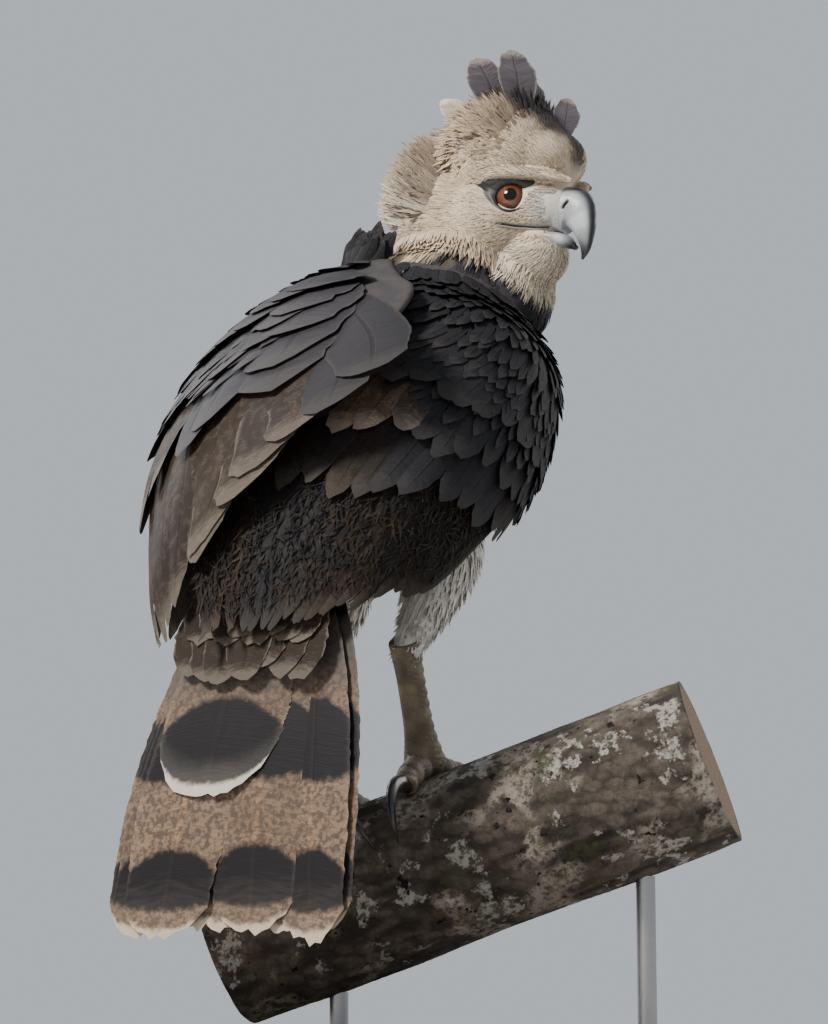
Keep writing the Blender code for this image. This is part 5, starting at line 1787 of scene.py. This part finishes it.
# %% Bristles and the line of the mouth
base_grid = bill_grid(BILL_UPPER, 80, 80, 2.2)
form = Form(from_head(base_grid[base_grid[:, 0, 0] < 53]), True)
roots = form.rows_of(1.8, 1.5, lambda p, r: (in_head(p)[:, 0] > 35) & (in_head(p)[:, 2] < 4))
bristles = coat_of(form, roots, one_colour(np.array((0.42, 0.40, 0.37))), 7.0, 0.45,
                   rings=4, rise=1.3, sink=-0.6, blunt=0.5, wild=0.35)
coat_piece("coat_lores", [bristles], "pale_feathers")


def mouth_tube(sign, drop, radius):
    """A fold of skin along the line of the mouth, from its corner to the bill.

    A guess is shifted until its place on the head has the wanted forward and up.
    """
    along_line = spline(MOUTH_LINE, np.linspace(0, 0.86, 60))
    guess = np.column_stack((along_line[:, 0], np.full(60, sign * 30.0), along_line[:, 1] + drop))
    wanted = guess.copy()
    for _ in range(10):
        found = head_surface(guess)
        guess[:, ::2] += (wanted[:, ::2] - found[:, ::2]) * 0.8
    rows = head_surface(guess, 0.3)
    thick = radius * np.sin(np.linspace(0.25, math.pi * 0.85, 60))
    grid = loft_grid(np.column_stack((rows, thick, thick, thick)), 90, 10, hint=UP)
    return capped(from_head(grid))


LIPS = (  # how far above the line of the mouth, radius, tint
    (0.9, 1.1, (0.10, 0.095, 0.09)),
    # the middle fold is near black: painted shade in the crease of the mouth
    (-0.7, 0.9, (0.006, 0.006, 0.007)),
    (-2.1, 1.2, (0.30, 0.27, 0.22)),
)
folds = [(*mouth_tube(sign, drop, radius), tint) for sign in (1, -1) for drop, radius, tint in LIPS]
points = np.vstack([fold[0] for fold in folds])
each = len(folds[0][0])
faces = [fold[1][kind] + k * each for kind in (0, 1) for k, fold in enumerate(folds)]
tints = np.repeat([fold[2] for fold in folds], each, axis=0)
closed_piece("mouth_lines", (points, faces), horn.material, "grey_horn", tint=tints)

# %% [markdown]
# The eye is a ball whose iris is read from its own directions: a black pupil, a red-brown iris with
# spokes, a dark rim, and painted shade of the lid over its upper part. The lids are a ring of bare
# skin, flatter above, that grips the ball.

# %% Eyes and lids
eye = Finish("wet_eye", Roughness=0.08, Coat_Weight=0.35, Coat_Roughness=0.02, Specular_IOR_Level=0.25)
gaze = eye.stored("gaze")
far = gaze.part(0) * gaze.part(0) + gaze.part(1) * gaze.part(1)
spokes = eye.noise(eye.stretched(gaze, (9.0, 9.0, 0.0)), 2.0, 4.0, 0.7)
iris = eye.mixed(far.between(0.14, 0.5), (0.15, 0.052, 0.028), (0.075, 0.026, 0.016))
iris = eye.mixed(spokes.between(0.35, 0.7) * 0.55, iris, (0.07, 0.02, 0.012))
iris = eye.mixed(far.between(0.60, 0.72), iris, (0.012, 0.01, 0.01))
# painted shade: the upper part of the iris is darkened as the lid's shadow
iris = eye.mixed(gaze.part(1).between(0.15, 0.7) * 0.75, iris, (0.012, 0.006, 0.005))
eye.give(Base_Color=eye.mixed(far.between(0.15, 0.125), iris, (0.002, 0.002, 0.002)))
lid = Finish("lid_skin", Specular_IOR_Level=0.45, Roughness=0.5)
margin = lid.stored("margin").part(0)
folds = lid.noise(lid.place(), 700.0, 3.0)
tone = lid.mixed(folds.between(0.3, 0.7), (0.007, 0.007, 0.008), (0.020, 0.019, 0.020))
rim = margin.between(0.62, 0.74) * margin.between(0.94, 0.86)
lid.give(Base_Color=lid.mixed(rim * 0.45, tone, (0.06, 0.063, 0.07)))
lid.relief(folds, 0.0004)


def lid_grid(sign):
    """Bare skin from an almond on the head to the eye's opening, whose edge curls into the ball."""
    turn = turns(120)
    wanted = np.stack((np.cos(turn), np.sin(turn)), -1) * lid_reach(np.degrees(turn))[:, None] * 1.02
    guess = np.column_stack((wanted, np.full(120, EYE_RADIUS)))
    for _ in range(8):
        found = in_eye(head_surface(from_eye(guess, sign)), sign)
        guess[:, :2] += (wanted - found[:, :2]) * 0.8
    outer = in_eye(head_surface(from_eye(guess, sign), -1.6), sign)
    tall = np.where(np.sin(turn) > 0, 0.72, 0.96)
    hole = np.stack((np.cos(turn) * 1.04, np.sin(turn) * tall), -1) * LID_RING
    deep = np.sqrt((EYE_RADIUS + 0.9) ** 2 - (hole**2).sum(-1))
    edge = np.column_stack((hole, deep))
    share = np.concatenate((np.linspace(0, 1, 16), (1.03, 1.05)))
    rows = []
    for t in share:
        t_in = min(t, 1.0)
        row = outer + (edge - outer) * t_in
        row[:, 2] += 1.9 * math.sin(math.pi * t_in**1.3) - (t - t_in) * 60
        row[:, :2] *= 1 - (t - t_in) * 0.8
        rows.append(from_eye(row, sign))
    return np.array(rows), np.minimum(share, 1.0)


for side, sign in SIDES.items():
    points, faces = ball(EYE_PLACE * (1, sign, 1), EYE_RADIUS, eye_axes(sign), 60, 80)
    shape = (from_head(points), faces)
    gazes = in_eye(points, sign) / EYE_RADIUS
    closed_piece(f"eye_ball_{side}", shape, eye.material, "brown_eye", f"eye_{side}", gaze=gazes)
    lids, margin = lid_grid(sign)
    mesh = mesh_from(f"lids_{side}", from_head(lids.reshape(-1, 3)), grid_faces(*lids.shape[:2]))
    add_values(mesh, margin=np.repeat(margin, 3 * lids.shape[1]))
    whole = bmesh.new()
    whole.from_mesh(mesh)
    bmesh.ops.recalc_face_normals(whole, faces=whole.faces)
    whole.to_mesh(mesh)
    whole.free()
    add_piece(f"lids_{side}", mesh, lid.material, "black_horn")

# %% [markdown]
# Claws are curved cones that leave the toe high and come down to the bark, thickest in their
# lengthwise middle line. Old black horn is polished by use, with a fine relief.

# %% Claws
claw_horn = Finish("claw_horn", Specular_IOR_Level=0.55)
place = claw_horn.place()
dust = claw_horn.noise(place, 130.0, 4.0)
tone = claw_horn.mixed(dust.between(0.5, 0.75), (0.012, 0.012, 0.014), (0.05, 0.046, 0.042))
claw_horn.give(Base_Color=tone, Roughness=dust * 0.3 + 0.16)
claw_horn.relief(claw_horn.noise(place, 500.0), 0.0002)
shares = np.linspace(0, 1, 24)
for side in SIDES:
    for toe, (_, length, _, thin, claw) in TOES.items():
        start = thin * 0.85
        height = start + claw * 0.36 * np.sin(shares * 2.6) - (start + claw * 0.16) * shares**1.6
        points = on_branch(*toe_course(side, toe, length - 3 + claw * 0.86 * shares), height)
        thick = thin * 0.84 * (1 - shares) ** 0.75 + 0.5
        rows = np.column_stack((points, thick * 0.82, thick, thick))
        hint = np.cross(points[1] - points[0], out_of_bark(FOOT_PLACES[side], 0.0))
        shape = capped(loft_grid(rows, 60, 28, hint=hint))
        name = f"{side}_{toe}"
        closed_piece(f"claw_horn_{name}", shape, claw_horn.material, "black_horn", f"claw_{name}")

# %% [markdown]
# The branch is a long tube whose bark is cut by furrows along it. Moss and pale lichen grow in
# patches, and both sawn ends show their rings.

# %% Branch
s = np.linspace(BRANCH_LOW, BRANCH_HIGH, 420)[:, None]
angle = turns(210)[None]
flat = np.stack((s + 0 * angle, 62 * np.cos(angle) + 0 * s, 62 * np.sin(angle) + 0 * s), -1)
furrows = hash_noise(flat * (0.22, 1.0, 1.0), 0.11, 11)
furrows = 1 - abs(2 * furrows - 1)
plates = hash_noise(flat * (0.5, 1.0, 1.0), 0.05, 12)
grit = hash_noise(flat, 0.45, 13)
depth = 1.3 * plates + 1.2 * smooth(0.2, 0.9, furrows) + 0.5 * grit - 2.6
bark = on_branch(s, angle, depth)
inward = np.linspace(1, 0.02, 26)[:, None]
ends = []
for row in (0, -1):
    centre = bark[row].mean(0)
    ends.append(centre + (bark[row] - centre) * inward[..., None])
bark_grid = np.concatenate((ends[0][::-1], bark, ends[1]))
cut = np.concatenate((inward[::-1], 0 * s, inward)) + 0 * angle
# deep is 1 on the bark's raised plates and 0 in its furrows: it carries painted shade
deep = np.pad(smooth(-2.2, 0.2, depth), ((26, 26), (0, 0)))
values = np.stack((cut, deep, np.sign(cut)), -1).reshape(-1, 3)
values = np.vstack((values, (0.0, 0, 1.0), (0.0, 0, 1.0)))
wood = Finish("bark_and_moss", Specular_IOR_Level=0.25)
place = wood.place()
growth = wood.stored("growth")
height, ends_mask = growth.part(1), growth.part(2)
grain = wood.noise(place, 120.0, 9.0, 0.72)
flakes = wood.cells(wood.stretched(place, (1.0, 1.0, 1.6)), 62.0)
patches = wood.noise(place, 15.0, 7.0, 0.68)
# painted shade: the bark is near black down in its furrows and pale on its raised plates
tone = wood.mixed(height, (0.024, 0.020, 0.017), (0.150, 0.122, 0.098))
tone = wood.mixed(grain.between(0.38, 0.62) * 0.65, tone, (0.050, 0.040, 0.033))
# painted shade: the cracks between the bark's flakes, sunk in the relief, are darkened
tone = wood.mixed(flakes.between(0.45, 0.75) * 0.6, tone, (0.022, 0.018, 0.016))
pale = patches.between(0.51, 0.56) * grain.between(0.62, 0.44)
tone = wood.mixed(pale * 0.85, tone, (0.33, 0.285, 0.235))
lichen = wood.noise(place, 23.0, 6.0, 0.65).between(0.56, 0.59) * grain.between(0.6, 0.46)
tone = wood.mixed(lichen * 0.8, tone, (0.40, 0.39, 0.35))
moss = wood.noise(place, 13.0, 6.0, 0.7).between(0.54, 0.62) * grain.between(0.38, 0.5)
tone = wood.mixed(moss * 0.7, tone, (0.060, 0.066, 0.028))
# painted shade: small pits, sunk in the relief, are painted near black
pits = wood.noise(place, 75.0, 5.0, 0.6).between(0.655, 0.69)
tone = wood.mixed(pits, tone, (0.008, 0.007, 0.006))
rings = ((growth.part(0) + wood.noise(place, 14.0, 3.0) * 0.05) * 150.0).math("SINE")
sawn = wood.mixed(rings.between(-0.6, 0.9), (0.30, 0.21, 0.13), (0.20, 0.13, 0.08))
sawn = wood.mixed(wood.noise(place, 260.0, 4.0).between(0.4, 0.7) * 0.35, sawn, (0.1, 0.07, 0.05))
tone = wood.mixed(ends_mask * growth.part(0).between(0.97, 0.9), tone, sawn)
wood.give(Base_Color=tone, Roughness=0.95 - ends_mask * 0.2 + grain * 0.05)
wood.relief(grain + wood.noise(place, 520.0, 4.0) * 0.3 - flakes * 0.6 - pits, 0.0045)
closed_piece("branch_bark", capped(bark_grid), wood.material, "bark", "perch_branch", growth=values)

# %% [markdown]
# The display stand is plain: a flat base of dark oiled wood with rounded corners and edges, and two
# steel rods that carry the branch.

# %% Stand
BASE_LENGTH, BASE_WIDTH, BASE_THICK, BASE_CORNER, BASE_EDGE = 520.0, 400.0, 18.0, 60.0, 2.5
ROD_RADIUS, ROD_PLACES = 9.0, (("low", -105.0), ("high", 205.0))
half_turn = np.linspace(-math.pi / 2, math.pi / 2, 13)
levels = np.where(half_turn < 0, BASE_EDGE, BASE_THICK - BASE_EDGE) + BASE_EDGE * np.sin(half_turn)
insets = BASE_EDGE - BASE_EDGE * np.cos(half_turn)
corner = np.linspace(0, math.pi / 2, 20)
rings = []
for z, inset in zip(levels, insets):
    ring = []
    for k, (sx, sy) in enumerate(((1, 1), (-1, 1), (-1, -1), (1, -1))):
        swing = corner + k * math.pi / 2
        x = sx * (BASE_LENGTH / 2 - BASE_CORNER) + (BASE_CORNER - inset) * np.cos(swing)
        y = sy * (BASE_WIDTH / 2 - BASE_CORNER) + (BASE_CORNER - inset) * np.sin(swing)
        ring.append(np.column_stack((x, y, np.full(20, z))))
    rings.append(np.vstack(ring))
board = Finish("oiled_wood", Specular_IOR_Level=0.4)
place = board.place()
figure = board.noise(board.stretched(place, (3.0, 30.0, 30.0)), 3.0, 5.0, 0.6)
pore = board.noise(board.stretched(place, (30.0, 700.0, 700.0)), 1.0, 2.0)
timber = board.mixed(figure.between(0.3, 0.7), (0.032, 0.02, 0.013), (0.085, 0.052, 0.032))
timber = board.mixed(pore.between(0.6, 0.72) * 0.6, timber, (0.015, 0.01, 0.008))
board.give(Base_Color=timber, Roughness=figure * 0.2 + 0.3)
board.relief(pore, 0.0002)
shape = capped(np.array(rings) - GRIP)
closed_piece("base_board", shape, board.material, "base_wood", "stand_base", sharp=60)
steel = Finish("turned_steel", Metallic=1.0)
place = steel.place()
turned = steel.noise(steel.stretched(place, (60.0, 60.0, 2600.0)), 1.0, 3.0)
tone = steel.mixed(turned, (0.30, 0.30, 0.31), (0.42, 0.42, 0.43))
steel.give(Base_Color=tone, Roughness=turned * 0.25 + 0.25)
steel.relief(turned, 0.00005)
for name, s in ROD_PLACES:
    foot = on_branch(s, math.pi)
    swing = turns(64)
    ring = np.stack((np.cos(swing), np.sin(swing), 0 * swing), -1) * ROD_RADIUS + foot * (1, 1, 0)
    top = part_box(f"stand_rod_{name}")[1][2] / MM - GRIP[2] - 1.5
    bottom = BASE_THICK + 0.3 - GRIP[2]
    shape = capped(ring + UP * np.linspace(bottom, top, 24)[:, None, None])
    closed_piece(f"rod_{name}", shape, steel.material, "rod_steel", f"stand_rod_{name}", sharp=60)
